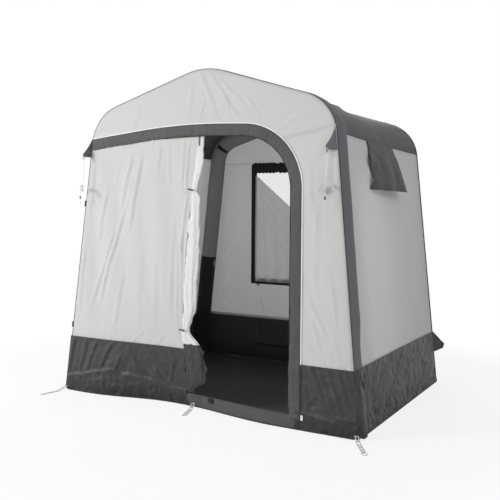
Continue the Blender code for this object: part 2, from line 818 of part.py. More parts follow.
def make_window():
    """A clear pane in the back wall, with its black frame, a rolled blind and a half-dropped curtain inside."""
    loops = [
        window_rectangle(WINDOW_FRAME, -SEAM_GAP),
        window_rectangle(WINDOW_FRAME, -SEAM_GAP - CLOTH),
        window_rectangle(-WINDOW_LIP, -SEAM_GAP - CLOTH),
        window_rectangle(-WINDOW_LIP, -SEAM_GAP),
    ]
    loft("window_frame", loops, "black_trim", closed=True, smooth=False)
    pane = [window_rectangle(-SEAM_GAP, CLOTH / 3), window_rectangle(-SEAM_GAP, CLOTH / 3 + PANE)]
    prism("window_pane", *pane, "window_film")
    top = WINDOW_HIGH + WINDOW_FRAME
    rings = []
    for share in spread(8):
        x = (2 * share - 1) * (WINDOW_HALF_WIDTH + WINDOW_FRAME / 2)
        swell = 1 + 0.06 * math.sin(9 * share * math.pi)
        ring = []
        for i in range(8):
            angle = 2 * math.pi * (i + 0.5) / 8
            drop = BLIND_HEIGHT / 2 * (1 + math.sin(angle) * swell)
            inward = CLOTH + 2 * SEAM_GAP + BLIND_DEPTH / 2 * (1 + math.cos(angle) / math.cos(math.pi / 8))
            ring.append(back_point(x, top - drop, -inward))
        rings.append(ring)
    loft("window_blind_roll", rings, "black_trim")
    make_window_drape(top - BLIND_HEIGHT * 1.1)


def make_window_drape(head):
    """The inner curtain: its right top corner has dropped, so the cloth hangs below a diagonal."""
    left = -WINDOW_HALF_WIDTH - WINDOW_FRAME / 2
    foot = WINDOW_LOW - DRAPE_OVERHANG
    tail = WINDOW_LOW + 0.060

    def surface(share, rise, side):
        top = head + (tail - head) * share
        wave = DRAPE_FOLD * (0.35 + 0.65 * (1 - rise))
        folds = wave * (1 + math.sin(19 * share * math.pi + 2.5 * rise))
        inward = CLOTH + 3 * SEAM_GAP + folds + side * DRAPE_CLOTH
        return back_point(left * (1 - 2 * share), foot + (top - foot) * rise, -inward)

    sheet("window_drape", spread(20), spread(5), surface, "curtain_cloth")
    behind = CLOTH + 3 * SEAM_GAP + TOGGLE_RADIUS
    spot = back_point(left + TOGGLE_LENGTH * 1.3, foot - TOGGLE_LENGTH * 0.6, -behind)
    make_toggle("drape_toggle", spot, Vector((1, 0, -0.5)))


def make_toggle(name, centre, direction, held=0.0):
    """A short bar with round shoulders and a waist. It swings on a loop at a share of its half length."""
    half = TOGGLE_LENGTH / 2
    profile = [
        (-half, TOGGLE_RADIUS * 0.6),
        (-half + TOGGLE_RADIUS * 0.6, TOGGLE_RADIUS),
        (-TOGGLE_RADIUS * 0.9, TOGGLE_RADIUS),
        (0.0, TOGGLE_RADIUS * 0.6),
        (TOGGLE_RADIUS * 0.9, TOGGLE_RADIUS),
        (half - TOGGLE_RADIUS * 0.6, TOGGLE_RADIUS),
        (half, TOGGLE_RADIUS * 0.6),
    ]
    pivot = centre + direction.normalized() * half * held
    print("toggle", name, [round(v, 5) for v in pivot])
    return turned(name, centre, direction, profile, 8, "black_trim", origin=pivot)


def zip_mark(height):
    """The distance along the zip at which its falling side has a height."""
    return bisect(ZIP.length / 2, ZIP.length, lambda s: ZIP.at(s)[0].y > height)


def fold_top(x):
    """The height up to which the left front panel may fold: just under the zip's cover."""
    return between(zip_side(-COVER_WIDTH / 2), x, 0, 1) - SEAM_LAP / 2


def panel_fold(x, z, top):
    """Long upright creases of the left front panel, fanning from its top seam."""
    if not SKIRT_HEIGHT < z < top:
        return 0.0
    rise = eased((z - SKIRT_HEIGHT) / 0.5) * eased((top - z) / 0.25)
    reach = hump(x, -half_width(z) + FRONT_SLEEVE_RIM, seam_x(z))
    return PANEL_FOLD * rise * min(1.0, 1.6 * reach) * math.sin(31 * x + 4 * (z - top))


def skirt_fold(x, z):
    """Slanting creases of the front skirts over a slack roll near the hem, all outward."""
    seam = SKIRT_HEIGHT - SEAM_LAP
    if not 0 < z < seam:
        return 0.0
    left = hump(x, -half_width(z) + 2 * SEAM_LAP, 2 * SEAM_X)
    middle = hump(x, 4.5 * SEAM_X, seam_x(z) - SEAM_LAP / 2)
    right = hump(x, DOOR_EDGE_X + COVER_WIDTH, half_width(z) - 2 * SEAM_LAP)
    slant = 1 + math.sin(38 * x - 30 * z) * 0.7 + math.sin(61 * x + 17 * z + 1.0) * 0.3
    creases = SKIRT_FOLD * slant * hump(z, 0.1 * seam, seam)
    return max(left, middle, right) * (creases + HEM_ROLL * hump(z, 0.0, 0.36 * seam))


def make_gable_panel():
    """The panel above the zip and the right panel's seam, cut to both outlines."""
    low = PANEL_SEAM_HEIGHT + SEAM_GAP / 2
    outer = zip_side(ZIP_WIDTH / 2 + SEAM_GAP)
    hem = [p for p in outer if p.x < 0 or p.y > low]
    hem.append(Vector((between([p for p in outer if p.x > 0], low, 1, 0), low)))
    high = low + 2 * CLOTH
    corner = edge_x(high)
    hem.append(Vector((corner, low)))
    edge = along_at_height(high)
    arch = [OUTLINE.at(s)[0] for s in reversed(ARCH_STATIONS) if edge < s < OUTLINE.length - edge]
    arch = [Vector((-corner, high)), *arch, Vector((corner, high))]
    marks = [p.x for p in hem]
    for point in arch:
        if hem[0].x < point.x < corner and min(abs(point.x - mark) for mark in marks) > SEAM_LAP / 2:
            marks.append(point.x)
    marks.sort()

    def surface(x, rise, side):
        foot = between(hem, x, 0, 1)
        return front_point(x, foot + (between(arch, x, 0, 1) - foot) * rise, side * CLOTH)

    sheet("front_gable_panel", marks, [0, 1], surface, "light_cloth")


def make_front_panels():
    """The folding left panel and the taut right one, each from its skirt's seam up to the zip."""
    seam = SKIRT_HEIGHT - SEAM_LAP
    head = zip_side(-ZIP_WIDTH / 2 - SEAM_GAP)
    head.insert(0, head[0] * 2 - head[1])

    def left(share, row, side):
        kind, climb = row
        near = -edge_x(ZIP_LEFT_HEIGHT) * (1 - share) + seam_x(ZIP_CROWN_HEIGHT) * share
        top = fold_top(near)
        z = climb
        if kind == "body":
            z = SKIRT_HEIGHT + (top - SKIRT_HEIGHT) * climb
        elif kind == "head":
            z = between(head, near, 0, 1) - SEAM_GAP
        x = -edge_x(z) * (1 - share) + seam_x(z) * share
        fold = panel_fold(x, z, top) if kind == "body" and 0 < climb < 1 else 0.0
        return front_point(x, z, side * CLOTH + fold)

    rows = [("lap", seam), *[("body", share) for share in spread(8)], ("head", 0)]
    sheet("front_left_panel", spread(20), rows, left, "light_cloth")
    post = [p for p in zip_side(ZIP_WIDTH / 2 + SEAM_GAP) if p.x > 0]

    def right(share, z, side):
        x = between(post, z, 1, 0) * (1 - share) + edge_x(z) * share
        return front_point(x, z, side * CLOTH)

    top = PANEL_SEAM_HEIGHT - SEAM_GAP / 2
    rows = [p.y for p in reversed(post) if SKIRT_HEIGHT + SEAM_LAP < p.y < top - CLOTH]
    sheet("front_right_panel", spread(4), [seam, SKIRT_HEIGHT, *rows, top], right, "light_cloth")


def hem_rows():
    seam = SKIRT_HEIGHT - SEAM_LAP
    return [0.0, 0.09 * seam, 0.20 * seam, 0.33 * seam, 0.48 * seam, 0.66 * seam, 0.84 * seam, seam, SKIRT_HEIGHT]


def left_skirt_x(share, z):
    return (-half_width(z) - CLOTH - SEAM_GAP) * (1 - share) + seam_x(z) * share


def right_skirt_x(share, z):
    inner = door_edge_x(z) + ZIP_WIDTH / 2 + SEAM_GAP
    return inner * (1 - share) + (half_width(z) + CLOTH + SEAM_GAP) * share


def sill_x(mark, z):
    """Where a station of the sill, 0 to 1, stands at a height."""
    return (seam_x(z) + SEAM_GAP) * (1 - mark) + (right_skirt_x(0, z) - SEAM_GAP) * mark


def sill_marks():
    """The sill's stations, two of them at its patch's edges."""
    width = sill_x(1, 0) - sill_x(0, 0)
    first = PATCH_FROM_SEAM / width
    second = first + PATCH_WIDTH / width
    return [0.0, first / 2, first, *[second + (1 - second) * share for share in spread(6)]]


def make_front_skirts():
    lip = CLOTH + SEAM_GAP

    def left(share, z, side):
        x = left_skirt_x(share, z)
        return front_point(x, z, lip + side * CLOTH + skirt_fold(x, z))

    def right(share, z, side):
        x = right_skirt_x(share, z)
        return front_point(x, z, lip + side * CLOTH + skirt_fold(x, z))

    sheet("front_left_skirt", spread(LEFT_SKIRT_CELLS), hem_rows(), left, "skirt_cloth")
    sheet("front_right_skirt", spread(RIGHT_SKIRT_CELLS), hem_rows(), right, "skirt_cloth")


def cover_lift(point):
    """How far the cover's free edge stands off, all along the slider's travel over the door."""
    if point.y < PANEL_SEAM_HEIGHT:
        return 0.0
    room = SLIDER_DEPTH + PULL_THICKNESS
    return room * eased((point.x + 0.40) / 0.25) * eased((0.52 - point.x) / 0.20)


def make_door_zip():
    """The zip round the door and the cover flap over it, which is sewn along its outer edge."""
    chain = []
    cover = []
    for along in ZIP_STATIONS:
        point, heading = ZIP.at(along)
        across = Vector((-heading.y, heading.x))
        half = ZIP_WIDTH / 2
        section = ((-half, 0), (half, 0), (half, CLOTH), (-half, CLOTH))
        chain.append([front_point(*(point + across * w), out) for w, out in section])
        half = COVER_WIDTH / 2
        layers = 2 if point.y < SKIRT_HEIGHT + SEAM_LAP else 1
        base = layers * (CLOTH + SEAM_GAP)
        lift = cover_lift(point)
        section = (
            (-half, base + lift),
            (-half * 0.4, base + lift),
            (half * 0.4, base + lift * 0.9),
            (half, base),
            (half, base + CLOTH * 0.6),
            (half * 0.4, base + lift * 0.9 + CLOTH * 1.5),
            (-half * 0.4, base + lift + CLOTH * 1.5),
            (-half, base + lift + CLOTH * 0.6),
        )
        cover.append([front_point(*(point + across * w), out) for w, out in section])
    loft("door_zip_chain", chain, "black_trim", smooth=False)
    loft("door_zip_cover", cover, "zip_cover")
    make_zip_slider()
    edge = door_edge_x(0) + COVER_WIDTH / 2 + ZIP_BOX_WIDTH * 0.4
    out = 2 * (CLOTH + SEAM_GAP)
    box = []
    for ahead in (out, out + ZIP_BOX_WIDTH / 2):
        corners = ((0, 0), (ZIP_BOX_WIDTH, 0), (ZIP_BOX_WIDTH, ZIP_BOX_HEIGHT), (0, ZIP_BOX_HEIGHT))
        box.append([front_point(edge + x, ZIP_END_HEIGHT + z, ahead) for x, z in corners])
    prism("door_zip_box", *box, "white_plastic")


def make_zip_slider():
    """The slider rides on the zip under the cover, and its pull hangs out below the cover's free edge."""
    parked = seam_x(ZIP_CROWN_HEIGHT) + SLIDER_LENGTH / 2
    start = bisect(0.0, ZIP.length / 2, lambda s: ZIP.at(s)[0].x < parked)
    point = ZIP.at(start)[0]
    travel = ZIP.at(start + SLIDER_TRAVEL)[0] - point
    along = travel.normalized()
    across = Vector((-along.y, along.x))
    base = CLOTH + SEAM_GAP
    half = SLIDER_WIDTH / 2
    outline = ((-0.5, -0.5), (-0.5, 0.5), (0.1, 1), (0.5, 0.6), (0.5, -0.6), (0.1, -1))
    body = []
    for out, shrink in ((base, 1), (base + SLIDER_DEPTH, 0.8)):
        ring = [point + (along * u * SLIDER_LENGTH + across * v * half) * shrink for u, v in outline]
        body.append([front_point(*p, out) for p in ring])
    spot = front_point(*point, base)
    prism("door_zip_slider", *body, "black_trim", origin=spot)
    print("zip travel", [round(v, 5) for v in travel], "from", [round(v, 5) for v in spot])
    ahead = base + SLIDER_DEPTH - PULL_THICKNESS / 2
    drop = half + PULL_PIVOT_RADIUS + RUNNING_GAP
    pivot = front_point(*(point - across * drop), ahead)
    outline = [(math.cos(a) * PULL_PIVOT_RADIUS, math.sin(a) * PULL_PIVOT_RADIUS) for a in PULL_ANGLES]
    wide = PULL_WIDTH / 2
    outline += [(-wide, -PULL_WIDTH), (-wide, wide - PULL_LENGTH), (-wide / 2, -PULL_LENGTH)]
    outline += [(wide / 2, -PULL_LENGTH), (wide, wide - PULL_LENGTH), (wide, -PULL_WIDTH)]
    faces = [[pivot + Vector((u, -out, w)) for u, w in outline] for out in (0.0, PULL_THICKNESS)]
    prism("door_zip_pull", *faces, "black_trim", origin=pivot)
    print("pull pivot", [round(v, 5) for v in pivot])


def read_table(table, z):
    """A value read from a short list of (height, value), eased between its heights."""
    for (low, first), (high, second) in zip(table, table[1:]):
        if z <= high:
            return first + (second - first) * eased((z - low) / (high - low))
    return table[-1][1]


def curtain_width(z):
    """The gathered door is narrow where it is tied and swells between, and its skirt fans out below."""
    table = [
        (CURTAIN_FOOT_HEIGHT, 0.060),
        (CURTAIN_FOOT_HEIGHT + 0.10, 0.160),
        (CURTAIN_BREAK_HEIGHT - 0.05, 0.148),
        (LOWER_TIE_HEIGHT, 0.056),
        (LOWER_TIE_HEIGHT + 0.14, 0.104),
        (UPPER_TIE_HEIGHT - 0.30, 0.102),
        (UPPER_TIE_HEIGHT - 0.06, 0.078),
        (UPPER_TIE_HEIGHT, 0.046),
        (UPPER_TIE_HEIGHT + 0.15, 0.064),
        (CURTAIN_TOP_HEIGHT, 0.044),
    ]
    return read_table(table, z)


def curtain_depth(z):
    table = [
        (CURTAIN_FOOT_HEIGHT, 0.012),
        (CURTAIN_BREAK_HEIGHT - 0.10, 0.034),
        (LOWER_TIE_HEIGHT, 0.020),
        (LOWER_TIE_HEIGHT + 0.14, 0.034),
        (UPPER_TIE_HEIGHT - 0.12, 0.032),
        (UPPER_TIE_HEIGHT, 0.018),
        (CURTAIN_TOP_HEIGHT - 0.10, 0.007),
        (CURTAIN_TOP_HEIGHT, 0.006),
    ]
    return read_table(table, z)


def curtain_level(z):
    """The height whose section is used at a height: each tie's own all over its waist."""
    tie = min((UPPER_TIE_HEIGHT, LOWER_TIE_HEIGHT), key=lambda height: abs(z - height))
    return tie, tie if abs(z - tie) <= TIE_WAIST / 2 + 1e-6 else z


def curtain_centre(z):
    _, level = curtain_level(z)
    return front_point(seam_x(z) + CLOTH / 3 + curtain_width(level) / 2, z, CLOTH / 2)


def curtain_ring(z, grow=0.0):
    """The gathered cloth at a height: lobed pleats round a flat bundle beside the seam."""
    tie, level = curtain_level(z)
    wide = curtain_width(level) / 2
    deep = curtain_depth(level) / 2
    lobe = 0.20 * min(1.0, abs(level - tie) / (TIE_WAIST * 2))
    centre = curtain_centre(z)
    ring = []
    for i in range(CURTAIN_POINTS):
        angle = 2 * math.pi * i / CURTAIN_POINTS
        pleat = 1 - lobe * (0.5 + 0.5 * math.cos(CURTAIN_PLEATS * angle + 5 * z))
        x = (wide * pleat + grow) * math.cos(angle)
        ring.append(centre + Vector((x, (deep * pleat + grow) * math.sin(angle), 0)))
    return ring


def make_curtain():
    """The rolled door in two cloths, light above and dark at its skirt, with its two ties."""
    half = TIE_WAIST / 2
    lower, upper = LOWER_TIE_HEIGHT, UPPER_TIE_HEIGHT
    foot, middle, top = CURTAIN_FOOT_HEIGHT, CURTAIN_BREAK_HEIGHT, CURTAIN_TOP_HEIGHT
    skirt = [foot + (middle - foot) * share for share in (0, 0.12, 0.25, 0.42, 0.60, 0.80)]
    skirt.append(middle - SEAM_GAP / 2)
    cloth = [middle + SEAM_GAP / 2, (middle + lower - half) / 2, lower - half, lower + half]
    waist = lower + 2 * half
    rise = upper - 2 * half - waist
    cloth += [waist + rise * share for share in (0, 0.07, 0.16, 0.30, 0.46, 0.62, 0.78, 0.91, 1)]
    waist = upper + half
    cloth += [upper - half, *[waist + (top - waist) * share for share in (0, 0.1, 0.28, 0.5, 0.75, 1)]]
    loft("door_curtain", [curtain_ring(z) for z in cloth], "light_cloth")
    loft("door_curtain_skirt", [curtain_ring(z) for z in skirt], "skirt_cloth")
    make_tie("upper", upper)
    make_tie("lower", lower)


def make_tie(place, height):
    """An elastic band round the open side of the gathered cloth, and the toggle that closes it."""
    reach = CURTAIN_POINTS * 2 // 5

    def surface(index, z, side):
        return curtain_ring(z, 2 * SEAM_GAP + side * TIE_THICKNESS)[index % CURTAIN_POINTS]

    heights = [height - TIE_WIDTH / 2, height + TIE_WIDTH / 2]
    sheet("tie_band_" + place, list(range(-reach, reach + 1)), heights, surface, "black_trim")
    ahead = curtain_depth(height) / 2 + 3 * SEAM_GAP + TIE_THICKNESS + TOGGLE_RADIUS
    spot = curtain_centre(height) + Vector((-TOGGLE_LENGTH / 2, -ahead, 0))
    make_toggle("tie_toggle_" + place, spot, Vector((1, 0, -0.12)))


def make_sill():
    """The low cloth threshold across the doorway, and the hook-and-loop patch on it."""
    lip = CLOTH + SEAM_GAP
    marks = sill_marks()

    def surface(mark, z, side):
        return front_point(sill_x(mark, z), z, lip + side * CLOTH)

    sheet("door_sill", marks, [0.0, PATCH_LOW, SILL_HEIGHT], surface, "skirt_cloth")
    corners = [(marks[i], z) for i, z in ((2, PATCH_LOW), (3, PATCH_LOW), (3, PATCH_HIGH), (2, PATCH_HIGH))]
    faces = []
    for out in (lip + CLOTH + SEAM_GAP, lip + CLOTH * 1.5 + SEAM_GAP):
        faces.append([front_point(sill_x(mark, z), z, out) for mark, z in corners])
    prism("sill_patch", *faces, "black_trim")


def make_floor():
    """The groundsheet, cut to the line of the hem."""
    hem = [left_skirt_x(share, 0) for share in spread(LEFT_SKIRT_CELLS)]
    hem += [sill_x(mark, 0) for mark in sill_marks()]
    hem += [right_skirt_x(share, 0) for share in spread(RIGHT_SKIRT_CELLS)]
    side = half_width(0) - SEAM_GAP
    corners = [front_point(min(max(x, -side), side), 0, CLOTH) for x in hem]
    corners += [back_point(side, 0, CLOTH), back_point(-side, 0, CLOTH)]
    prism("groundsheet", corners, [c + UP * CLOTH for c in corners], "floor_cloth")


def hood_root(y):
    """The wall's face where the hood is sewn on, just under the roof's edge."""
    return side_point(along_at_height(ROOF_EDGE_HEIGHT - SEAM_LAP / 2), y, 2 * SEAM_GAP)


def make_hood():
    """The vent hood: a cloth flap sewn under the roof's edge, held off the wall at its mouth."""
    hinge = hood_root(HOOD_FRONT)
    hinge.y = (HOOD_FRONT + HOOD_REAR) / 2

    def surface(share, fall, side):
        y = HOOD_FRONT + (HOOD_REAR - HOOD_FRONT) * share
        out = HOOD_OUT_FRONT + (HOOD_OUT_REAR - HOOD_OUT_FRONT) * share**1.5
        root = hood_root(y)
        belly = 0.012 * math.sin(math.pi * fall) + 0.004 * math.sin(5 * math.pi * share) * fall
        x = root.x + (SIDE_LEAN * HOOD_DROP + out) * fall**1.2 + belly + side * CLOTH
        return Vector((x, y, root.z - HOOD_DROP * fall))

    sheet("vent_hood", spread(12), spread(6), surface, "roof_cloth", origin=hinge)
    print("hood hinge", [round(v, 5) for v in hinge])
    mouth = surface(5 / 12, 1, 0)
    slope = (mouth - surface(5 / 12, 5 / 6, 0)).normalized()
    inward = Vector((slope.z, 0, -slope.x))
    spot = mouth + inward * (TOGGLE_RADIUS + 2 * SEAM_GAP) - slope * TOGGLE_RADIUS
    make_toggle("hood_toggle", spot, surface(6 / 12, 1, 0) - surface(4 / 12, 1, 0))


def make_valve_flap():
    """A small three-cornered flap at the rear right corner that folds over the rear valve."""
    upward = Vector((-SIDE_LEAN, -FRONT_LEAN, 1)).normalized()
    beside = CLOTH + SEAM_GAP + FLAP_THICKNESS * 0.75
    foot = Vector((half_width(0) + beside, half_depth(0) + CLOTH * 1.5 + SEAM_GAP, 0))
    reach = Vector((0.45, 0.89, 0)).normalized()
    square = upward.cross(reach).normalized() * FLAP_THICKNESS / 2
    high = (SKIRT_HEIGHT - SEAM_GAP) / upward.z
    shape = [(high - 0.140, 0.0), (high, 0.0), (high - 0.095, FLAP_LENGTH), (high - 0.123, FLAP_LENGTH * 0.88)]
    outline = [foot + upward * run + reach * out for run, out in shape]
    hinge = foot + upward * (high - 0.070)
    faces = [[p - square for p in outline], [p + square for p in outline]]
    prism("rear_valve_flap", *faces, "skirt_cloth", origin=hinge)
    print("flap hinge", [round(v, 5) for v in hinge], [round(v, 5) for v in upward])


def make_beam_strap():
    """The hook-and-loop strap round the rear sleeve at its left shoulder."""
    mirror = OUTLINE.length - along_at_height(EAVE_HEIGHT - SEAM_LAP)
    after = min(s for s in ARCH_STATIONS if s > mirror)
    before = max(s for s in ARCH_STATIONS if s < after)

    def surface(index, share, side):
        inset = -2 * SEAM_GAP - side * DRAPE_CLOTH
        first = arch_ring(rear_sleeve_section, inset, before, 1)[index]
        return first.lerp(arch_ring(rear_sleeve_section, inset, after, 1)[index], share)

    sheet("beam_strap", [9, 10, 11, 0, 1], [0.15, 0.75], surface, "black_trim")


def guy_frames():
    """Each guy: its name, its gusset's seam, tip and facing, and its hank's way and number of loops."""
    lip = CLOTH + 2 * SEAM_GAP
    edge = edge_x(GUSSET_FOOT)
    seam = (GUSSET_TOP, GUSSET_FOOT)
    right_seam = [front_point(edge_x(z) - CLOTH, z, lip) for z in seam]
    right_tip = front_point(edge - GUSSET_OUT, GUSSET_FOOT, GUSSET_STANDOFF)
    left_seam = [side_point(along_at_height(z), -half_depth(z) + CLOTH, lip, -1) for z in seam]
    left_tip = front_point(-edge - GUSSET_STANDOFF / 2, GUSSET_FOOT, GUSSET_OUT)
    outer = Vector((-1, 0, 0))
    return [
        ("right", right_seam, right_tip, Vector((0, -1, 0)), Vector((1, 0, 0)), RIGHT_HANK_LOOPS),
        ("left", left_seam, left_tip, outer, Vector((0.70, -0.714, 0)), LEFT_HANK_LOOPS),
    ]


def make_guys():
    """On each front corner a gusset with an eye, a ring in it and the line, hank and runner below."""
    for name, seam, tip, facing, hank_way, turns in guy_frames():
        top, foot = seam
        rise = (top - foot).normalized()
        into = (foot - tip).normalized()
        beyond = tip - into * 0.007
        corners = [top, foot, tip + into * 0.006 - rise * 0.005, beyond, beyond + rise * 0.016]
        normal = (foot - top).cross(tip - top).normalized()
        if normal.dot(facing) < 0:
            normal = -normal
        faces = [corners, [c + normal * GUSSET_THICKNESS for c in corners]]
        gusset = prism("guy_gusset_" + name, *faces, "sleeve_cloth")
        eye = tip + rise * 0.004 + normal * GUSSET_THICKNESS / 2
        drill(gusset, "guy_eye_" + name, eye, normal, GUY_EYE_RADIUS, GUSSET_THICKNESS * 3, sides=8)
        hang = eye - UP * (GUY_EYE_RADIUS * math.cos(math.pi / 8) - GUY_RING_WIRE - 2 * SEAM_GAP)
        centre = hang - UP * GUY_RING_RADIUS
        ring = ("guy_ring_" + name, centre, facing, -UP, GUY_RING_RADIUS, GUY_RING_WIRE, "black_trim")
        wire_ring(*ring, origin=hang)
        print("guy", name, "swings at", [round(v, 5) for v in hang])
        foot = centre - UP * (GUY_RING_RADIUS + GUY_RING_WIRE + SEAM_GAP)
        make_guy_cord(name, foot, hank_way, turns)


def arc_between(start, heading, end, arrival, count):
    """A smooth curve that leaves start along heading and reaches end along arrival."""
    reach = (end - start).length * 0.45
    first = start + heading.normalized() * reach
    second = end - arrival.normalized() * reach
    points = []
    for t in spread(count):
        near = start * (1 - t) ** 3 + first * 3 * t * (1 - t) ** 2
        points.append(near + second * 3 * t * t * (1 - t) + end * t**3)
    return points


def path_length(points):
    return sum((b - a).length for a, b in zip(points, points[1:]))


def least_gap(points):
    """The least space between parts of the cord that aren't neighbours along it."""
    dense = []
    run = 0.0
    for a, b in zip(points, points[1:]):
        step = (b - a).length
        dense += [(run + step * share, a.lerp(b, share)) for share in (0, 1 / 3, 2 / 3)]
        run += step
    best = 1.0
    for i, (run, a) in enumerate(dense):
        for other, b in dense[i + 1 :]:
            if other - run > 4 * CORD:
                best = min(best, (a - b).length)
    return best - CORD


def cord_object(name, points, resolution):
    """A cord as a round tube along its points."""
    curve = bpy.data.curves.new(name, "CURVE")
    curve.dimensions = "3D"
    curve.bevel_depth = CORD / 2
    curve.bevel_resolution = resolution
    curve.use_fill_caps = True
    spline = curve.splines.new("POLY")
    spline.points.add(len(points) - 1)
    for knot, point in zip(spline.points, points):
        knot.co = (*point, 1)
    curve.materials.append(material("guy_cord"))
    made = bpy.data.objects.new(name, curve)
    bpy.context.scene.collection.objects.link(made)
    return made


def make_guy_cord(name, top, across, turns):
    """The line hangs from its ring to a hank of loops. The end leaves the hank downward, through its runner."""
    across = across.normalized()
    outward = across.cross(UP)
    line = [top - UP * GUY_DROP * share for share in spread(14)]
    cord_object("guy_line_" + name, line, 2)
    pitch = CORD + CORD_GAP
    waist = HANK_HEIGHT * HANK_WAIST / 2
    middle = line[-1] + across * HANK_SHIFT - UP * (waist + CORD * 3)
    loops = []
    for k in range(turns * LOOP_POINTS + 1):
        turn = 2 * math.pi * k / LOOP_POINTS
        side = math.sin(turn)
        rise = math.cos(turn) * HANK_HEIGHT / 2 * (HANK_WAIST + (1 - HANK_WAIST) * side * side)
        flat = across * side * HANK_SPAN / 2 + UP * (rise - HANK_DROOP * side * side)
        loops.append(middle + flat + outward * pitch * k / LOOP_POINTS)
    start = line[-1] - UP * SEAM_GAP
    lead = [start, *arc_between(start - UP * CORD, -UP, loops[0], across, 5)[:-1]]
    fall = middle + outward * pitch * (turns + 1.3) - UP * (waist + CORD * 2)
    tail = arc_between(loops[-1], across, fall, -UP, 9)[1:]
    tail += [fall - UP * TAIL_LENGTH * share for share in spread(10)[1:]]
    points = lead + loops + tail
    cord_object("guy_hank_" + name, points, 1)
    print(name, "hank length", round(path_length(points), 4), "least gap", round(least_gap(points), 5))
    make_runner(name, fall - UP * TAIL_LENGTH * 0.62, across, outward)


def make_runner(name, centre, across, outward):
    """The runner that grips the line: a waisted plastic block with the line through its bore."""
    outer = []
    inner = []
    for height, wide, deep in ((1, 0.75, 0.8), (0.5, 1.0, 1.0), (0, 0.8, 0.9), (-0.5, 1.0, 1.0), (-1, 0.6, 0.8)):
        level = centre + UP * height * RUNNER_LENGTH / 2
        outer.append(circle(level, across * wide, outward * deep * 0.75, RUNNER_WIDTH / 2, 8))
        inner.append(circle(level, across, outward, RUNNER_BORE, 8))
    tube_shell("guy_runner_" + name, outer, inner, "black_trim", origin=centre)
    print("runner", name, [round(v, 5) for v in centre])


def hem_way(x):
    """The way along the hem, to the right, at a distance from the middle."""
    return (front_point(x + CLOTH, 0, 0) - front_point(x - CLOTH, 0, 0)).normalized()


def strap_frames():
    """Each peg strap: its name, where it leaves the hem, the way it runs and whether it carries a ring."""
    corner = half_width(0) - STRAP_WIDTH * 0.55
    return [
        ("right", corner, Vector((0.516, -0.857, 0)), True),
        ("left", -corner, Vector((-0.170, -0.985, 0)), False),
        ("door", seam_x(0) + STRAP_WIDTH * 2, Vector((0.300, -0.954, 0)), False),
    ]


def make_strap(name, x, heading, ringed):
    """A ladder strap: two edges and rungs, falling from the hem and reaching out over the ground."""
    heading = heading.normalized()
    aside = UP.cross(heading)
    root = front_point(x, STRAP_ROOT_HEIGHT, 2 * (CLOTH + SEAM_GAP) + SEAM_GAP)
    base = Vector((root.x, root.y, 0))
    hem = hem_way(x)
    runs = [0.0, STRAP_RUNG]
    for _ in range(STRAP_SLOTS):
        runs.append(runs[-1] + STRAP_SLOT_LENGTH)
        runs.append(runs[-1] + STRAP_RUNG)
    length = runs[-1]
    slot = STRAP_SLOT_WIDTH / 2
    lanes = [-STRAP_WIDTH / 2, -slot, slot, STRAP_WIDTH / 2]
    rest = EYE_RADIUS - STRAP_THICKNESS / 2 if ringed else 0.0

    def height(run):
        fall = eased(run / (2 * (STRAP_SLOT_LENGTH + STRAP_RUNG)))
        return (root.z - STRAP_THICKNESS) * (1 - fall) + rest * (run / length) ** 2

    points = []
    index = {}
    for i, run in enumerate(runs):
        for j, lane in enumerate(lanes):
            spot = base + heading * run + aside * lane
            if i == 0:
                spot = base + hem * lane * math.copysign(1, hem.dot(aside))
            for t in (0, 1):
                index[i, j, t] = len(points)
                points.append(spot + UP * (height(run) + t * STRAP_THICKNESS))
    cells = {(i, j) for i in range(len(runs) - 1) for j in range(3) if not (j == 1 and i % 2 == 1)}
    faces = []
    for i, j in sorted(cells):
        for t in (0, 1):
            faces.append([index[i, j, t], index[i + 1, j, t], index[i + 1, j + 1, t], index[i, j + 1, t]])
        edges = {
            (i - 1, j): ((i, j), (i, j + 1)),
            (i + 1, j): ((i + 1, j), (i + 1, j + 1)),
            (i, j - 1): ((i, j), (i + 1, j)),
            (i, j + 1): ((i, j + 1), (i + 1, j + 1)),
        }
        for neighbour, (a, b) in edges.items():
            if neighbour not in cells:
                faces.append([index[(*a, 0)], index[(*b, 0)], index[(*b, 1)], index[(*a, 1)]])
    strap = mesh_object("peg_strap_" + name, points, faces, "strap_rubber", smooth=False, origin=root)
    print("strap", name, [round(v, 5) for v in root], "hem", [round(v, 4) for v in hem])
    if ringed:
        make_peg_ring(strap, base + heading * length, heading, aside)


def make_peg_ring(strap, end, heading, aside):
    """The strap ends in an eye across its width. The ring lies in it with its far side on the ground."""
    bore = EYE_RADIUS - EYE_WALL
    centre = end + heading * (bore + EYE_WALL * 0.5) + UP * EYE_RADIUS
    outer = []
    inner = []
    for reach in (-EYE_LENGTH / 2, EYE_LENGTH / 2):
        outer.append(circle(centre + aside * reach, heading, UP, EYE_RADIUS, 10))
        inner.append(circle(centre + aside * reach, heading, UP, bore, 10))
    join(strap, tube_shell("peg_strap_eye", outer, inner, "strap_rubber"))
    slope = (EYE_RADIUS - PEG_RING_WIRE) / (2 * PEG_RING_RADIUS)
    away = heading * math.sqrt(1 - slope * slope) - UP * slope
    ring = ("peg_ring", centre + away * PEG_RING_RADIUS, aside, away, PEG_RING_RADIUS, PEG_RING_WIRE, "ring_steel")
    wire_ring(*ring, steps=18, origin=centre)
    print("peg ring", [round(v, 5) for v in centre], "about", [round(v, 4) for v in aside])


def make_corner_toggles():
    """The toggles on the left edge, which hold the left panel when it is rolled."""
    for place, height in (("upper", CORNER_TOGGLE_UPPER), ("lower", CORNER_TOGGLE_LOWER)):
        x = -half_width(height) - TOGGLE_RADIUS - CLOTH / 3
        spot = Vector((x, -half_depth(height) + SEAM_GAP, height))
        make_toggle("corner_toggle_" + place, spot, Vector((SIDE_LEAN, FRONT_LEAN, 1)), held=1.0)


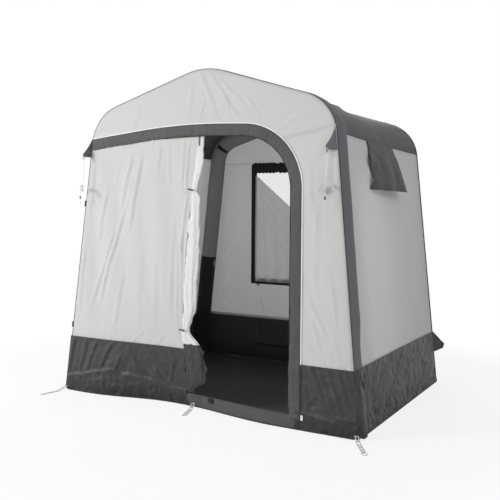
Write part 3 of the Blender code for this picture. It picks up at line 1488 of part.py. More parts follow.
clear_scene()
LEFT_SKIRT_CELLS = 20
RIGHT_SKIRT_CELLS = 10
SPAN_FREE = 0.8
SPAN_ROWS = spread(10)
EYE_RADIUS = PEG_RING_WIRE + 3 * SEAM_GAP + EYE_WALL
PULL_ANGLES = [math.radians(45 * k) for k in range(5)]
OUTLINE = gable_outline()
ZIP = zip_route()
FOOT_MARKS = [along_at_height(h) for h in (FOOT_BULGE_HEIGHT, SKIRT_HEIGHT - SEAM_LAP, SKIRT_HEIGHT)]
FOOT_MARKS += [OUTLINE.length - mark for mark in FOOT_MARKS]
ARCH_ENDS = (BEAM_FOOT, OUTLINE.length - BEAM_FOOT)
ARCH_STATIONS = OUTLINE.stations(*ARCH_ENDS, math.radians(11), 1.0, 0.5, FOOT_MARKS)
COVER_STEPS = [zip_mark(SKIRT_HEIGHT + rise) for rise in (SEAM_LAP - SEAM_GAP, 3 * SEAM_LAP)]
ZIP_STATIONS = ZIP.stations(0, ZIP.length, math.radians(11), 0.12, 0.15, COVER_STEPS)
make_beams()
make_roof()
make_side_walls()
make_vent_mesh()
make_side_skirts()
make_back()
make_window()
make_gable_panel()
make_front_panels()
make_front_skirts()
make_door_zip()
make_curtain()
make_sill()
make_floor()
make_hood()
make_valve_flap()
make_beam_strap()
make_guys()
for strap_frame in strap_frames():
    make_strap(*strap_frame)
make_corner_toggles()
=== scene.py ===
import math

import bpy
import numpy as np
from mathutils import Matrix, Vector


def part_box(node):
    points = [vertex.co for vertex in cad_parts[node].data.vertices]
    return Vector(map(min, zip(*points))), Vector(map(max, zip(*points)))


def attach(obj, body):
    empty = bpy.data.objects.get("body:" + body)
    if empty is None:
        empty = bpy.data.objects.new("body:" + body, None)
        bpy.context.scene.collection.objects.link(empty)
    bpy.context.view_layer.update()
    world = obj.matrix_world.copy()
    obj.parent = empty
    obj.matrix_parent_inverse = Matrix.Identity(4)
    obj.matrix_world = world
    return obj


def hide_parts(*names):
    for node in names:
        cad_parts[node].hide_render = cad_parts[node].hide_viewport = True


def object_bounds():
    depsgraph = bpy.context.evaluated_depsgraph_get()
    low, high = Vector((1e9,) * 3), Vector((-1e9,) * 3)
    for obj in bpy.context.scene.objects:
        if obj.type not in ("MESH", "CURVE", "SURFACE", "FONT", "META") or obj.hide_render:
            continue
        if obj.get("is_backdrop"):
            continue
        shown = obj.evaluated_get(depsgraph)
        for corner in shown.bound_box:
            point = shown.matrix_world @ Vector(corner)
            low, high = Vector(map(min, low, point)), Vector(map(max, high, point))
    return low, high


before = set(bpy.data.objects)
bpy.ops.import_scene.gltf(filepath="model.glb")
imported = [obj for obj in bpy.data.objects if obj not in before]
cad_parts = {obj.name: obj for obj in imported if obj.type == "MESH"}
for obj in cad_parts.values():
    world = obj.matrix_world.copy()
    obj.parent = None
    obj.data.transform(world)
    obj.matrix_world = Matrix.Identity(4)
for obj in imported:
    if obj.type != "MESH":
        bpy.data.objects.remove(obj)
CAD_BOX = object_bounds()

# The tent's own lines, in metres, as the CAD has them.
EAVE, PEAK, LEAN_X, LEAN_Y = 1.747, 1.994, 0.110, 0.0227
SKIRT, LAP, ROOF_EDGE, PANEL_SEAM = 0.352, 0.020, 1.585, 1.575
CLOTH, GAP = 0.003, 0.0003
SLEEVE_W, REAR_R, RIM, VALVE_Y = 0.108, 0.058, 0.045, 0.070
DOOR_X, DOOR_LEAN, ZIP_W, COVER_W = 0.634, 0.022, 0.012, 0.070
ZIP_LEFT, ZIP_CROWN, ZIP_CORNER, ZIP_END = 1.568, (-0.150, 1.637), 1.600, 0.055
SILL = 0.080
CURTAIN_TOP, CURTAIN_BREAK, CURTAIN_FOOT = 1.604, 0.385, 0.090
UPPER_TIE, LOWER_TIE = 1.285, 0.465
WIN_X, WIN_LOW, WIN_HIGH, WIN_FRAME = 0.452, 0.640, 1.500, 0.036
CORD = 0.0026
LIP = CLOTH + GAP
SEAM = SKIRT - LAP


def vec(*xyz):
    return np.stack(np.broadcast_arrays(*[np.asarray(v, float) for v in xyz]), -1)


def unit(v):
    v = np.asarray(v, float)
    return v / np.maximum(np.linalg.norm(v, axis=-1, keepdims=True), 1e-12)


def eased(v):
    v = np.clip(v, 0.0, 1.0)
    return v * v * (3 - 2 * v)


def hump(v, low, high):
    """A smooth hump from 0 at low to 1 midway and back to 0 at high."""
    return np.sin(np.pi * np.clip((v - low) / (high - low), 0, 1)) ** 2


class Line:
    """A flat path through rounded corners: points and headings by distance along it."""

    def __init__(self, corners, radii):
        c = np.array(corners, float)
        points, heads, start = [], [], c[0]
        for k, radius in enumerate(radii, 1):
            into, out = unit(c[k] - c[k - 1]), unit(c[k + 1] - c[k])
            turn = math.atan2(into[0] * out[1] - into[1] * out[0], into @ out)
            room = min(np.linalg.norm(c[k] - c[k - 1]), np.linalg.norm(c[k + 1] - c[k]))
            setback = min(radius * math.tan(abs(turn) / 2), 0.49 * room)
            radius = setback / math.tan(abs(turn) / 2)
            begin = c[k] - into * setback
            points += [start, begin]
            heads += [into, into]
            side = np.array([-into[1], into[0]]) * radius * math.copysign(1, turn)
            for a in np.linspace(0, turn, 60)[1:]:
                spin = np.array([[math.cos(a), -math.sin(a)], [math.sin(a), math.cos(a)]])
                points.append(begin + side - spin @ side)
                heads.append(spin @ into)
            start = points[-1]
        points.append(c[-1])
        heads.append(unit(c[-1] - start))
        self.p, self.h = np.array(points), np.array(heads)
        self.s = np.concatenate([[0], np.cumsum(np.linalg.norm(np.diff(self.p, axis=0), axis=1))])
        self.length = self.s[-1]

    def at(self, s):
        """Point and heading arrays at distances s."""
        get = lambda table: np.stack([np.interp(s, self.s, table[:, i]) for i in (0, 1)], -1)
        return get(self.p), unit(get(self.h))


def half_width(z):
    return 1.0 - LEAN_X * z


def half_depth(z):
    return 0.77 - LEAN_Y * z


ARCH = Line([(1.0, 0), (half_width(EAVE), EAVE), (0, PEAK), (-half_width(EAVE), EAVE), (-1.0, 0)], [0.26, 0.43, 0.26])
RISE = ARCH.s <= ARCH.length / 2


def along_at(z):
    return np.interp(z, ARCH.p[RISE, 1], ARCH.s[RISE])


def edge_x(z):
    return np.interp(z, ARCH.p[RISE, 1], ARCH.p[RISE, 0])


def door_x(z):
    return DOOR_X - DOOR_LEAN * z


def seam_x(z):
    return -0.120 + 0.063 * (z - 0.400) ** 2


ZIP = Line([(-edge_x(ZIP_LEFT) + COVER_W * 0.15, ZIP_LEFT), ZIP_CROWN, (door_x(ZIP_CORNER), ZIP_CORNER),
            (door_x(ZIP_END), ZIP_END)], [5.0, 0.340])


def zip_line(offset, s=None):
    """The zip's line moved sideways, outward of the door for a positive offset."""
    p, h = ZIP.at(np.linspace(0, ZIP.length, 400) if s is None else s)
    return p + np.stack([-h[..., 1], h[..., 0]], -1) * offset


def over_door(x, offset):
    """The height of the zip's line, moved sideways, over x."""
    p = zip_line(offset)
    top = p[: int(np.argmax(p[:, 0])) + 1]
    top = np.vstack([top[0] * 2 - top[1], top])
    top[0, 0] = min(top[0, 0], -1.0)
    return np.interp(x, top[:, 0], top[:, 1])


def post_x(z, offset):
    """Where the zip's falling side, moved sideways, stands at a height."""
    p = zip_line(offset)
    p = p[p[:, 0] > 0.3][::-1]
    order = np.argsort(p[:, 1])
    return np.interp(z, p[order, 1], p[order, 0])


def hem_slack(x, z):
    """How far the hem is drawn in, most beside the rolled door."""
    away = np.abs(x + 0.220) / np.where(x < -0.220, 0.620, 0.760)
    inside = (away < 1) & (z < 0.750)
    return np.where(inside, 0.100 * np.cos(np.minimum(away, 1) * np.pi / 2) ** 2 * (1 - np.minimum(z / 0.750, 1)) ** 2, 0)


def front(x, z, out=0.0):
    return vec(x, -half_depth(z) + hem_slack(x, z) - out, z)


def back(x, z, out=0.0):
    return vec(x, half_depth(z) + out, z)


def free_cloth(z):
    return -half_depth(z) + SLEEVE_W + 2 * GAP, half_depth(z) - 2 * REAR_R - 4 * GAP


def sag(y, z):
    lo, hi = free_cloth(z)
    share = np.sin(np.pi * np.clip((y - lo) / (hi - lo), 0, 1))
    low = 0.010 * np.sqrt(np.maximum(z, 0) / ROOF_EDGE)
    high = 0.010 + 0.012 * np.minimum((z - ROOF_EDGE) / (EAVE - ROOF_EDGE), 1)
    return share * np.where(z <= ROOF_EDGE, low, high)


def side(s, y, out=0.0, hand=1):
    """A point on the side or roof, out from its cloth line, s along the arch."""
    p, h = ARCH.at(s)
    shift = out - sag(y, p[..., 1])
    return vec(hand * (p[..., 0] + h[..., 1] * shift), y, p[..., 1] - h[..., 0] * shift)


def span_y(s, share):
    """The depth of the free cloth: share 0 at the front sleeve, 0.8 at the rear one and 1 at the back."""
    z = ARCH.at(s)[0][..., 1]
    lo, hi = free_cloth(z)
    end = half_depth(z) - GAP
    return np.where(share <= 0.8, lo + (hi - lo) * share / 0.8, hi + (end - hi) * (share - 0.8) / 0.2)


def noise(x, y, size, seed):
    """Smooth random heights from -1 to 1, about size metres across."""
    grid = np.random.RandomState(seed).uniform(-1, 1, (61, 61))
    x, y = np.broadcast_arrays(np.asarray(x, float) / size + 17.3, np.asarray(y, float) / size + 29.7)
    i, j = np.floor(x).astype(int), np.floor(y).astype(int)
    u, v = eased(x - i), eased(y - j)
    g = lambda a, b: grid[(i + a) % 61, (j + b) % 61]
    return (g(0, 0) * (1 - u) + g(1, 0) * u) * (1 - v) + (g(0, 1) * (1 - u) + g(1, 1) * u) * v


def crumple(x, y, size, seed):
    """Sharp crossing ridges, 0 to 1, as cloth has where it was pressed together."""
    wx = x + 0.35 * size * noise(x, y, size * 1.7, seed + 1)
    wy = y + 0.35 * size * noise(x, y, size * 1.7, seed + 2)
    return 1 - 1.8 * np.minimum(np.abs(noise(wx, wy, size, seed + 3)), np.abs(noise(wx + 9, wy, size * 0.61, seed + 4)) + 0.1)


def crease(x, y, a, b, width, height, seed=0):
    """One fold from a to b: a rounded ridge beside a hollow, fading at its ends and wandering a little."""
    a, b = np.array(a, float), np.array(b, float)
    run = b - a
    length = np.linalg.norm(run)
    run = run / length
    along = ((x - a[0]) * run[0] + (y - a[1]) * run[1]) / length
    off = (x - a[0]) * -run[1] + (y - a[1]) * run[0] + width * 0.5 * noise(along * length, 0, 0.10, seed + 40)
    ends = eased(np.clip(along + 0.08, 0, 1) / 0.25) * eased(np.clip(1.08 - along, 0, 1) / 0.35)
    d = off / width
    return height * ends * (np.exp(-d * d) - 0.55 * np.exp(-((d - 1.5) ** 2)))


# Camera, lamps, world and floor
camera = bpy.data.objects.new("camera", bpy.data.cameras.new("camera"))
camera.data.lens = 709.15 / 500 * 36
camera.data.sensor_width = 36
camera.data.clip_start = 0.05
YAW, PITCH, ROLL = -0.5066, -0.0482, 0.0168
ahead = Vector((math.sin(YAW) * math.cos(PITCH), math.cos(YAW) * math.cos(PITCH), math.sin(PITCH)))
right = ahead.cross(Vector((0, 0, 1))).normalized()
above = right.cross(ahead)
across, upward = right * math.cos(ROLL) + above * math.sin(ROLL), above * math.cos(ROLL) - right * math.sin(ROLL)
camera.matrix_world = Matrix.Translation((2.2353, -4.1791, 1.1398)) @ Matrix((across, upward, -ahead)).transposed().to_4x4()
bpy.context.scene.collection.objects.link(camera)
bpy.context.scene.camera = camera
bpy.context.scene.view_settings.view_transform = "Standard"


def lamp(name, place, aim, size, power):
    made = bpy.data.objects.new(name, bpy.data.lights.new(name, "AREA"))
    made.data.shape, made.data.size, made.data.energy = "DISK", size, power
    made.location = place
    made.rotation_euler = (Vector(aim) - Vector(place)).to_track_quat("-Z", "Y").to_euler()
    bpy.context.scene.collection.objects.link(made)
    return made


lamp("key", (-4.6, -5.0, 3.4), (0, -0.4, 1.0), 2.2, 330)
lamp("fill", (5.5, -3.2, 4.2), (0.6, 0, 0.9), 3.0, 95)
lamp("rear", (-2.0, 5.5, 4.0), (0, 0.5, 1.0), 3.5, 120)
lamp("inside", (0.10, -0.45, 1.50), (-0.25, 0.80, 0.75), 0.7, 3.6).visible_camera = False


class Nodes:
    """Makes a material's nodes. Inputs are numbers, colours or other nodes' sockets."""

    def __init__(self, tree):
        self.tree = tree

    def put(self, kind, out=0, settings=(), **inputs):
        node = self.tree.nodes.new("ShaderNode" + kind)
        for key, value in dict(settings).items():
            setattr(node, key, value)
        for key, value in inputs.items():
            socket = node.inputs[int(key[1:])] if key[0] == "i" and key[1:].isdigit() else node.inputs[key.replace("_", " ")]
            self.set(socket, value)
        return node.outputs[out]

    def set(self, socket, value):
        if isinstance(value, bpy.types.NodeSocket):
            self.tree.links.new(value, socket)
        else:
            socket.default_value = value

    def math(self, kind, a, b=0.0, clamp=False):
        return self.put("Math", settings={"operation": kind, "use_clamp": clamp}, i0=a, i1=b)

    def ramp(self, value, low, high, first=0.0, last=1.0):
        """value mapped from low..high to first..last, eased and held beyond."""
        return self.put("MapRange", settings={"interpolation_type": "SMOOTHSTEP"}, Value=value,
                        From_Min=low, From_Max=high, To_Min=first, To_Max=last)

    def noise(self, where, scale, detail=2.0, kind="FBM", rough=0.5, bend=0.0):
        return self.put("TexNoise", settings={"noise_type": kind}, Vector=where, Scale=scale, Detail=detail,
                        Roughness=rough, Distortion=bend)

    def bump(self, height, strength, distance, normal=None):
        inputs = {"Strength": strength, "Distance": distance, "Height": height}
        if normal is not None:
            inputs["Normal"] = normal
        return self.put("Bump", **inputs)


def linear(shade):
    v = shade / 255
    return v / 12.92 if v <= 0.04045 else ((v + 0.055) / 1.055) ** 2.4


def colour(shade, tint=(1, 1, 1)):
    return tuple(linear(shade) * t for t in tint) + (1.0,)


COOL, BLUE, WARM = (0.98, 1.0, 1.035), (0.93, 0.99, 1.12), (1.0, 0.995, 0.975)
made_materials = {}


def start(name):
    m = bpy.data.materials.new(name)
    m.use_nodes = True
    made_materials[name] = m
    shader = m.node_tree.nodes["Principled BSDF"]
    return m, Nodes(m.node_tree), shader


def fabric(name, shade, tint=(1, 1, 1), rough=0.82, weave=0.0012, mottle=0.10, fold_light=0.10, folds=14.0,
           fold_depth=0.0022, through=0.0, sheen=0.12, foot_tone=0.0, stitched=True, stretch=(1, 1, 1)):
    """Woven cloth: threads, soft colour patches, fine creases with a painted highlight along them, sewn edges with
    painted shade beside them and a foot darker or lighter in patches near the ground.
    """
    m, n, shader = start(name)
    place = n.put("TexCoord", 3)
    uv = n.put("UVMap", settings={"uv_map": "UVMap"})
    seam = n.put("SeparateXYZ", Vector=n.put("UVMap", settings={"uv_map": "Seam"}))
    seam = (seam, seam.node.outputs[1])
    threads = n.put("SeparateXYZ", Vector=uv)
    over = n.math("SINE", n.math("MULTIPLY", threads, 2 * math.pi / weave))
    under = n.math("SINE", n.math("MULTIPLY", threads.node.outputs[1], 2 * math.pi / weave))
    grain = n.math("MULTIPLY", over, under)
    stretched = n.put("Mapping", Vector=place, Scale=stretch)
    ridges = n.noise(stretched, folds, 3.0, "RIDGED_MULTIFRACTAL", 0.45, 0.6)
    broad = n.noise(stretched, folds * 0.28, 2.0, bend=0.4)
    gate = n.ramp(broad, 0.42, 0.66)
    lines = n.math("MULTIPLY", n.ramp(ridges, 0.55, 1.15), gate)
    patches = n.noise(place, 3.1, 3.0, rough=0.6)
    fibre = n.noise(place, 420.0, 1.0)
    value = n.math("MULTIPLY_ADD", n.math("SUBTRACT", patches, 0.5), mottle)
    value.node.inputs[2].default_value = 1.0
    value = n.math("ADD", value, n.math("MULTIPLY", n.math("SUBTRACT", fibre, 0.5), 0.10))
    # painted highlight: the crease lines are made lighter by fold_light, as creases that catch the light
    value = n.math("ADD", value, n.math("MULTIPLY", lines, fold_light))
    value = n.math("ADD", value, n.math("MULTIPLY", grain, 0.03))
    sewn = None
    if stitched:
        near = lambda y, w: n.ramp(n.math("ABSOLUTE", n.math("SUBTRACT", seam[1], y)), w * 0.5, w, 1.0, 0.0)
        dash = n.ramp(n.math("SINE", n.math("MULTIPLY", seam[0], 2 * math.pi / 0.0052)), -0.5, -0.1)
        sewn = n.math("MULTIPLY", n.math("ADD", near(0.0045, 0.0011), near(0.0125, 0.0011), True), dash)
        value = n.math("SUBTRACT", value, n.math("MULTIPLY", sewn, 0.22))
        # painted shade: the cloth is made up to 5% darker within 16 mm of a sewn edge
        value = n.math("SUBTRACT", value, n.ramp(seam[1], 0.0, 0.016, 0.05, 0.0))
    # foot_tone scales noise patches within 15 cm of the ground: below zero the cloth turns darker towards the ground,
    # above zero lighter
    if foot_tone:
        height = n.put("SeparateXYZ", Vector=place).node.outputs[2]
        blotches = n.math("MULTIPLY", n.ramp(height, 0.0, 0.15, 1.0, 0.0), n.noise(place, 26.0, 4.0, rough=0.7))
        value = n.math("ADD", value, n.math("MULTIPLY", blotches, foot_tone))
    base = colour(shade, tint)
    tone = n.put("VectorMath", settings={"operation": "SCALE"}, i0=base[:3], i3=value)
    n.set(shader.inputs["Base Color"], tone)
    n.set(shader.inputs["Roughness"], n.math("MULTIPLY_ADD", n.math("SUBTRACT", patches, 0.5), 0.16))
    shader.inputs["Roughness"].links[0].from_node.inputs[2].default_value = rough
    shader.inputs["Sheen Weight"].default_value = sheen
    shader.inputs["Sheen Roughness"].default_value = 0.45
    shader.inputs["Specular IOR Level"].default_value = 0.28
    normal = n.bump(lines, 0.55, fold_depth)
    normal = n.bump(broad, 0.35, fold_depth * 2.2, normal)
    normal = n.bump(grain, 0.25, weave * 0.10, normal)
    if stitched:
        normal = n.bump(n.ramp(seam[1], 0.0145, 0.0165, 1.0, 0.0), 0.7, 0.0006, normal)
        normal = n.bump(sewn, 0.6, -0.0006, normal)
    n.set(shader.inputs["Normal"], normal)
    if through:
        glow = n.put("BsdfTranslucent", Color=tone, Normal=normal)
        out = m.node_tree.nodes["Material Output"]
        n.set(out.inputs["Surface"], n.put("MixShader", i0=through, i1=shader.outputs[0], i2=glow))
    return m


def moulded(name, shade, tint=(1, 1, 1), rough=0.45, metal=0.0, grain=900.0, wear=0.08, coat=0.0):
    """Moulded plastic, rubber or plated wire: fine grain, rubbed patches and a soft gloss."""
    m, n, shader = start(name)
    place = n.put("TexCoord", 3)
    patches = n.noise(place, 60.0, 3.0, rough=0.6)
    fine = n.noise(place, grain, 1.0)
    rub = n.ramp(n.put("NewGeometry", 7), 0.50, 0.58)
    value = n.math("MULTIPLY_ADD", n.math("SUBTRACT", patches, 0.5), 0.12)
    value.node.inputs[2].default_value = 1.0
    value = n.math("ADD", value, n.math("MULTIPLY", rub, wear))
    n.set(shader.inputs["Base Color"], n.put("VectorMath", settings={"operation": "SCALE"}, i0=colour(shade, tint)[:3], i3=value))
    n.set(shader.inputs["Roughness"], n.ramp(patches, 0.3, 0.7, rough - 0.08, rough + 0.08))
    shader.inputs["Metallic"].default_value = metal
    shader.inputs["Coat Weight"].default_value = coat
    n.set(shader.inputs["Normal"], n.bump(fine, 0.25, 0.0002))
    return m


def netting(name):
    """Insect mesh: open holes between round threads."""
    m, n, shader = start(name)
    uv = n.put("SeparateXYZ", Vector=n.put("UVMap", settings={"uv_map": "UVMap"}))
    pitch = 0.0026
    wave = lambda v: n.math("ABSOLUTE", n.math("SINE", n.math("MULTIPLY", v, math.pi / pitch)))
    hole = n.math("MULTIPLY", n.ramp(wave(uv), 0.45, 0.60), n.ramp(wave(uv.node.outputs[1]), 0.45, 0.60))
    patches = n.noise(n.put("TexCoord", 3), 9.0, 2.0)
    shade = n.ramp(patches, 0.3, 0.7, 0.85, 1.15)
    n.set(shader.inputs["Base Color"], n.put("VectorMath", settings={"operation": "SCALE"}, i0=colour(36, BLUE)[:3], i3=shade))
    n.set(shader.inputs["Roughness"], n.ramp(patches, 0.3, 0.7, 0.7, 0.9))
    n.set(shader.inputs["Normal"], n.bump(hole, 0.5, -0.0004))
    see = n.put("BsdfTransparent")
    out = m.node_tree.nodes["Material Output"]
    n.set(out.inputs["Surface"], n.put("MixShader", i0=n.math("MULTIPLY", hole, 0.75), i1=shader.outputs[0], i2=see))
    return m


def clear_film(name):
    """Clear window film: see-through, with faint waves, dust and handling marks."""
    m, n, shader = start(name)
    place = n.put("TexCoord", 3)
    waves = n.noise(place, 5.0, 2.0, bend=0.8)
    blotches = n.noise(place, 42.0, 4.0, rough=0.7)
    n.set(shader.inputs["Base Color"], n.put("VectorMath", settings={"operation": "SCALE"}, i0=colour(232, COOL)[:3],
                                              i3=n.ramp(blotches, 0.3, 0.7, 0.94, 1.04)))
    n.set(shader.inputs["Roughness"], n.ramp(blotches, 0.35, 0.75, 0.05, 0.20))
    shader.inputs["Alpha"].default_value = 0.30
    n.set(shader.inputs["Normal"], n.bump(waves, 0.5, 0.004))
    return m


light = dict(shade=214, rough=0.80, mottle=0.05, fold_light=0.07, folds=5.0, fold_depth=0.0045, through=0.22,
             sheen=0.10, tint=WARM)
fabric("light_cloth", **light)
# painted shade: a slightly darker, untinted copy of light_cloth, used on the side walls, the back wall, the vent rim
# and the back seam
fabric("side_cloth", **{**light, "shade": 206, "tint": (1.0, 1.0, 1.0), "folds": 6.5, "fold_depth": 0.005})
fabric("curtain_cloth", 190, WARM, 0.86, through=0.5, mottle=0.12, fold_light=0.45, folds=13.0, fold_depth=0.004)
fabric("door_cloth", 226, WARM, 0.72, mottle=0.12, fold_light=0.16, folds=26.0, fold_depth=0.007, through=0.12,
       stretch=(1.6, 1.6, 0.35))
fabric("roof_cloth", 76, COOL, 0.74, mottle=0.30, fold_light=0.30, folds=9.0, fold_depth=0.004, through=0.05)
fabric("sleeve_cloth", 100, (0.95, 0.995, 1.07), 0.78, mottle=0.25, fold_light=0.30, folds=30.0, fold_depth=0.003)
# painted light: a lighter copy of sleeve_cloth for the rear sleeve, standing in for the light that reaches it inside
# the tent
fabric("rear_sleeve_cloth_painted_light", 132, COOL, 0.78, mottle=0.30, fold_light=0.30, folds=30.0, fold_depth=0.004)
fabric("cover_cloth", 76, COOL, 0.70, mottle=0.60, fold_light=0.90, folds=42.0, fold_depth=0.004, sheen=0.25)
skirt = dict(rough=0.52, mottle=0.36, fold_light=1.10, folds=26.0, fold_depth=0.012, foot_tone=-1.0, sheen=0.2)
fabric("skirt_cloth", 57, (0.97, 1.0, 1.04), **skirt)
# painted light: a lighter copy of skirt_cloth for the doorway's sill, standing in for light on its front face;
# foot_tone is 0 here
fabric("sill_cloth_painted_light", 76, COOL, **{**skirt, "foot_tone": 0.0})
fabric("floor_cloth", 38, COOL, 0.55, mottle=0.22, fold_light=0.25, folds=7.0, foot_tone=0.0, sheen=0.05)
fabric("black_cloth", 30, COOL, 0.75, mottle=0.25, fold_light=0.4, folds=24.0)
# painted highlight: the cover's edge piping made near white, standing for the bright line of light along that edge
fabric("piping_cloth_painted_highlight", 246, WARM, 0.7, mottle=0.05, fold_light=0.0, stitched=False)
fabric("edge_cloth", 60, COOL, 0.75, mottle=0.12, fold_light=0.05, stitched=False)
fabric("guy_cord", 226, WARM, 0.7, weave=0.0011, mottle=0.08, fold_light=0.0, stitched=False)
moulded("black_plastic", 34, rough=0.38)
moulded("valve_plastic", 40, rough=0.42)
moulded("white_plastic", 226, WARM, rough=0.36, wear=0.0)
moulded("strap_rubber", 190, COOL, rough=0.5)
moulded("ring_steel", 176, COOL, rough=0.28, metal=1.0, wear=0.1)
netting("mesh_cloth")
clear_film("window_film")
fabric("beam_film", 150, COOL, 0.35, mottle=0.08, fold_light=0.1, stitched=False)

world = bpy.data.worlds.new("studio")
world.use_nodes = True
n = Nodes(world.node_tree)
path = n.put("LightPath")
seen = n.math("MAXIMUM", n.math("MAXIMUM", path, path.node.outputs["Is Glossy Ray"]), path.node.outputs["Is Transmission Ray"])
glow = world.node_tree.nodes["Background"]
glow.inputs["Color"].default_value = (1, 1, 1, 1)
n.set(glow.inputs["Strength"], n.ramp(seen, 0.0, 1.0, 0.42, 1.0))
bpy.context.scene.world = world

floor_mesh = bpy.data.meshes.new("floor")
floor_mesh.from_pydata([(-30, -30, 0), (30, -30, 0), (30, 30, 0), (-30, 30, 0)], [], [[0, 1, 2, 3]])
floor = bpy.data.objects.new("floor", floor_mesh)
floor.location.z = -0.0006
bpy.context.scene.collection.objects.link(floor)
m, n, shader = start("floor")
shader.inputs["Base Color"].default_value = (0.86, 0.86, 0.86, 1)
n.set(shader.inputs["Roughness"], n.ramp(n.noise(n.put("TexCoord", 3), 2.0), 0.3, 0.7, 0.88, 0.92))
path = n.put("LightPath")
away = n.ramp(n.put("VectorMath", 1, {"operation": "LENGTH"}, i0=n.put("TexCoord", 3)), 1.7, 2.7, 0.80, 1.0)
shine = n.put("Emission", Color=(1, 1, 1, 1), Strength=1.0)
n.set(m.node_tree.nodes["Material Output"].inputs["Surface"],
      n.put("MixShader", i0=n.math("MULTIPLY", path, away), i1=shader.outputs[0], i2=shine))
floor_mesh.materials.append(m)
floor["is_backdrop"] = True


def mesh_piece(name, verts, faces, finish, body="tent", nodes=(), uv=None, seam=None, smooth=True, thick=0.0):
    """A mesh in the row frame that rides on a body and stands for CAD nodes. uv and seam are per vertex, in metres."""
    mesh = bpy.data.meshes.new(name)
    mesh.from_pydata([tuple(v) for v in verts], [], [list(map(int, f)) for f in faces])
    mesh.validate()
    loops = np.zeros(len(mesh.loops), int)
    mesh.loops.foreach_get("vertex_index", loops)
    for label, table in (("UVMap", uv), ("Seam", seam)):
        layer = mesh.uv_layers.new(name=label)
        if table is None:
            table = np.tile([0.5, 0.5], (len(verts), 1)) if label == "Seam" else np.asarray(verts, float)[:, [0, 2]]
        layer.data.foreach_set("uv", np.asarray(table, np.float32)[loops].ravel())
    if smooth:
        mesh.shade_smooth()
        mesh.set_sharp_from_angle(angle=math.radians(50))
    mesh.materials.append(made_materials[finish])
    made = bpy.data.objects.new(name, mesh)
    bpy.context.scene.collection.objects.link(made)
    if thick:
        skin = made.modifiers.new("thickness", "SOLIDIFY")
        skin.thickness, skin.offset = thick, -1.0
    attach(made, body)
    if nodes:
        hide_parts(*nodes)
    return made


def steps(low, high, size, *marks):
    """Evenly spaced values about size apart, with the marks among them."""
    ends = sorted({low, high, *[m for m in marks if low < m < high]})
    runs = [np.linspace(a, b, max(2, round((b - a) / size) + 1))[:-1] for a, b in zip(ends, ends[1:])]
    return np.concatenate([*runs, [high]])


def quad_area(p):
    return float(np.linalg.norm(np.cross(p[1:, 1:] - p[:-1, :-1], p[1:, :-1] - p[:-1, 1:]), axis=-1).sum() / 2)


def cloth(name, points, finish, nodes, facing, relief=None, sewn="lrdu", hole=None, fade=0.03, cut=None, held="stretched",
          area=None, closed=False, rests=(), **options):
    """A sheet through a grid of points, its outer face towards facing, raised by relief except at its sewn edges.

    sewn names the stitched edges: l and r at the grid's first and last column, d and u at its first and last row."""
    p = np.asarray(points, float)
    flat_area = quad_area(p)
    step = lambda axis: np.linalg.norm(np.diff(p, axis=axis), axis=-1)
    u = np.concatenate([np.zeros((1, p.shape[1])), np.cumsum(step(0), 0)], 0)
    v = np.concatenate([np.zeros((p.shape[0], 1)), np.cumsum(step(1), 1)], 1)
    reach = {"l": (u, v), "r": (u[-1:] - u, v), "d": (v, u), "u": (v[:, -1:] - v, u)}
    edge, run = np.full(u.shape, 0.5), np.full(u.shape, 0.5)
    for key in sewn:
        away, along = reach[key]
        run = np.where(away < edge, along, run)
        edge = np.minimum(edge, away)
    normal = unit(np.cross(np.gradient(p, axis=0), np.gradient(p, axis=1)))
    turn = 1.0 if np.sum(normal * facing) > 0 else -1.0
    if relief is not None:
        p = p + normal * (turn * relief * (eased(edge / fade) if sewn else 1.0))[..., None]
    wide, tall = p.shape[:2]
    keep = np.ones((wide - 1, tall - 1), bool)
    if hole:
        inside, snap = hole
        middle = (p[1:, 1:] + p[:-1, :-1] + p[1:, :-1] + p[:-1, 1:]) / 4
        keep = ~inside(middle)
        rim = np.zeros((wide, tall), int)
        gone = np.zeros((wide, tall), int)
        for a in (0, 1):
            for b in (0, 1):
                rim[a : wide - 1 + a, b : tall - 1 + b] += keep
                gone[a : wide - 1 + a, b : tall - 1 + b] += ~keep
        moved = (rim > 0) & (gone > 0)
        p[moved] = snap(p[moved])
    number = np.arange(wide * tall).reshape(wide, tall)
    if closed:
        number[-1] = number[0]
    quads = np.stack([number[:-1, :-1], number[1:, :-1], number[1:, 1:], number[:-1, 1:]], -1)[keep]
    if turn < 0:
        quads = quads[:, ::-1]
    used, renamed = np.unique(quads, return_inverse=True)
    flat = lambda a: a.reshape(wide * tall, -1)[used]
    made = mesh_piece(name, flat(p), renamed.reshape(quads.shape), finish, nodes=nodes, uv=flat(np.stack([u, v], -1)),
                      seam=flat(np.stack([run, edge], -1)), **options)
    if closed:
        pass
    else:
        size = cut or (float(u[-1].max()), float(v[:, -1].max()))
        area = area or min(max(flat_area, 0.3 * size[0] * size[1]), size[0] * size[1])
    return made


def rectangle(axis, lo, hi, low, high):
    """A hole for cloth(): what lies inside, and how its rim is drawn onto the straight edges."""

    def inside(p):
        return (p[..., axis] > lo) & (p[..., axis] < hi) & (p[..., 2] > low) & (p[..., 2] < high)

    def snap(p):
        q = p.copy()
        a = np.where(np.abs(q[:, axis] - lo) < np.abs(q[:, axis] - hi), lo, hi)
        b = np.where(np.abs(q[:, 2] - low) < np.abs(q[:, 2] - high), low, high)
        da, db = np.abs(q[:, axis] - a), np.abs(q[:, 2] - b)
        q[:, axis] = np.where((da <= db) | (da < 0.008), a, q[:, axis])
        q[:, 2] = np.where((db < da) | (db < 0.008), b, q[:, 2])
        return q

    return inside, snap


def disc(centre, normal, radius):
    centre, normal = np.array(centre, float), unit(normal)

    def inside(p):
        d = p - centre
        flat = d - (d @ normal)[..., None] * normal
        return (np.linalg.norm(flat, axis=-1) < radius) & (np.abs(d @ normal) < 0.05)

    def snap(p):
        d = p - centre
        lift = (d @ normal)[:, None] * normal
        return centre + lift + unit(d - lift) * radius

    return inside, snap


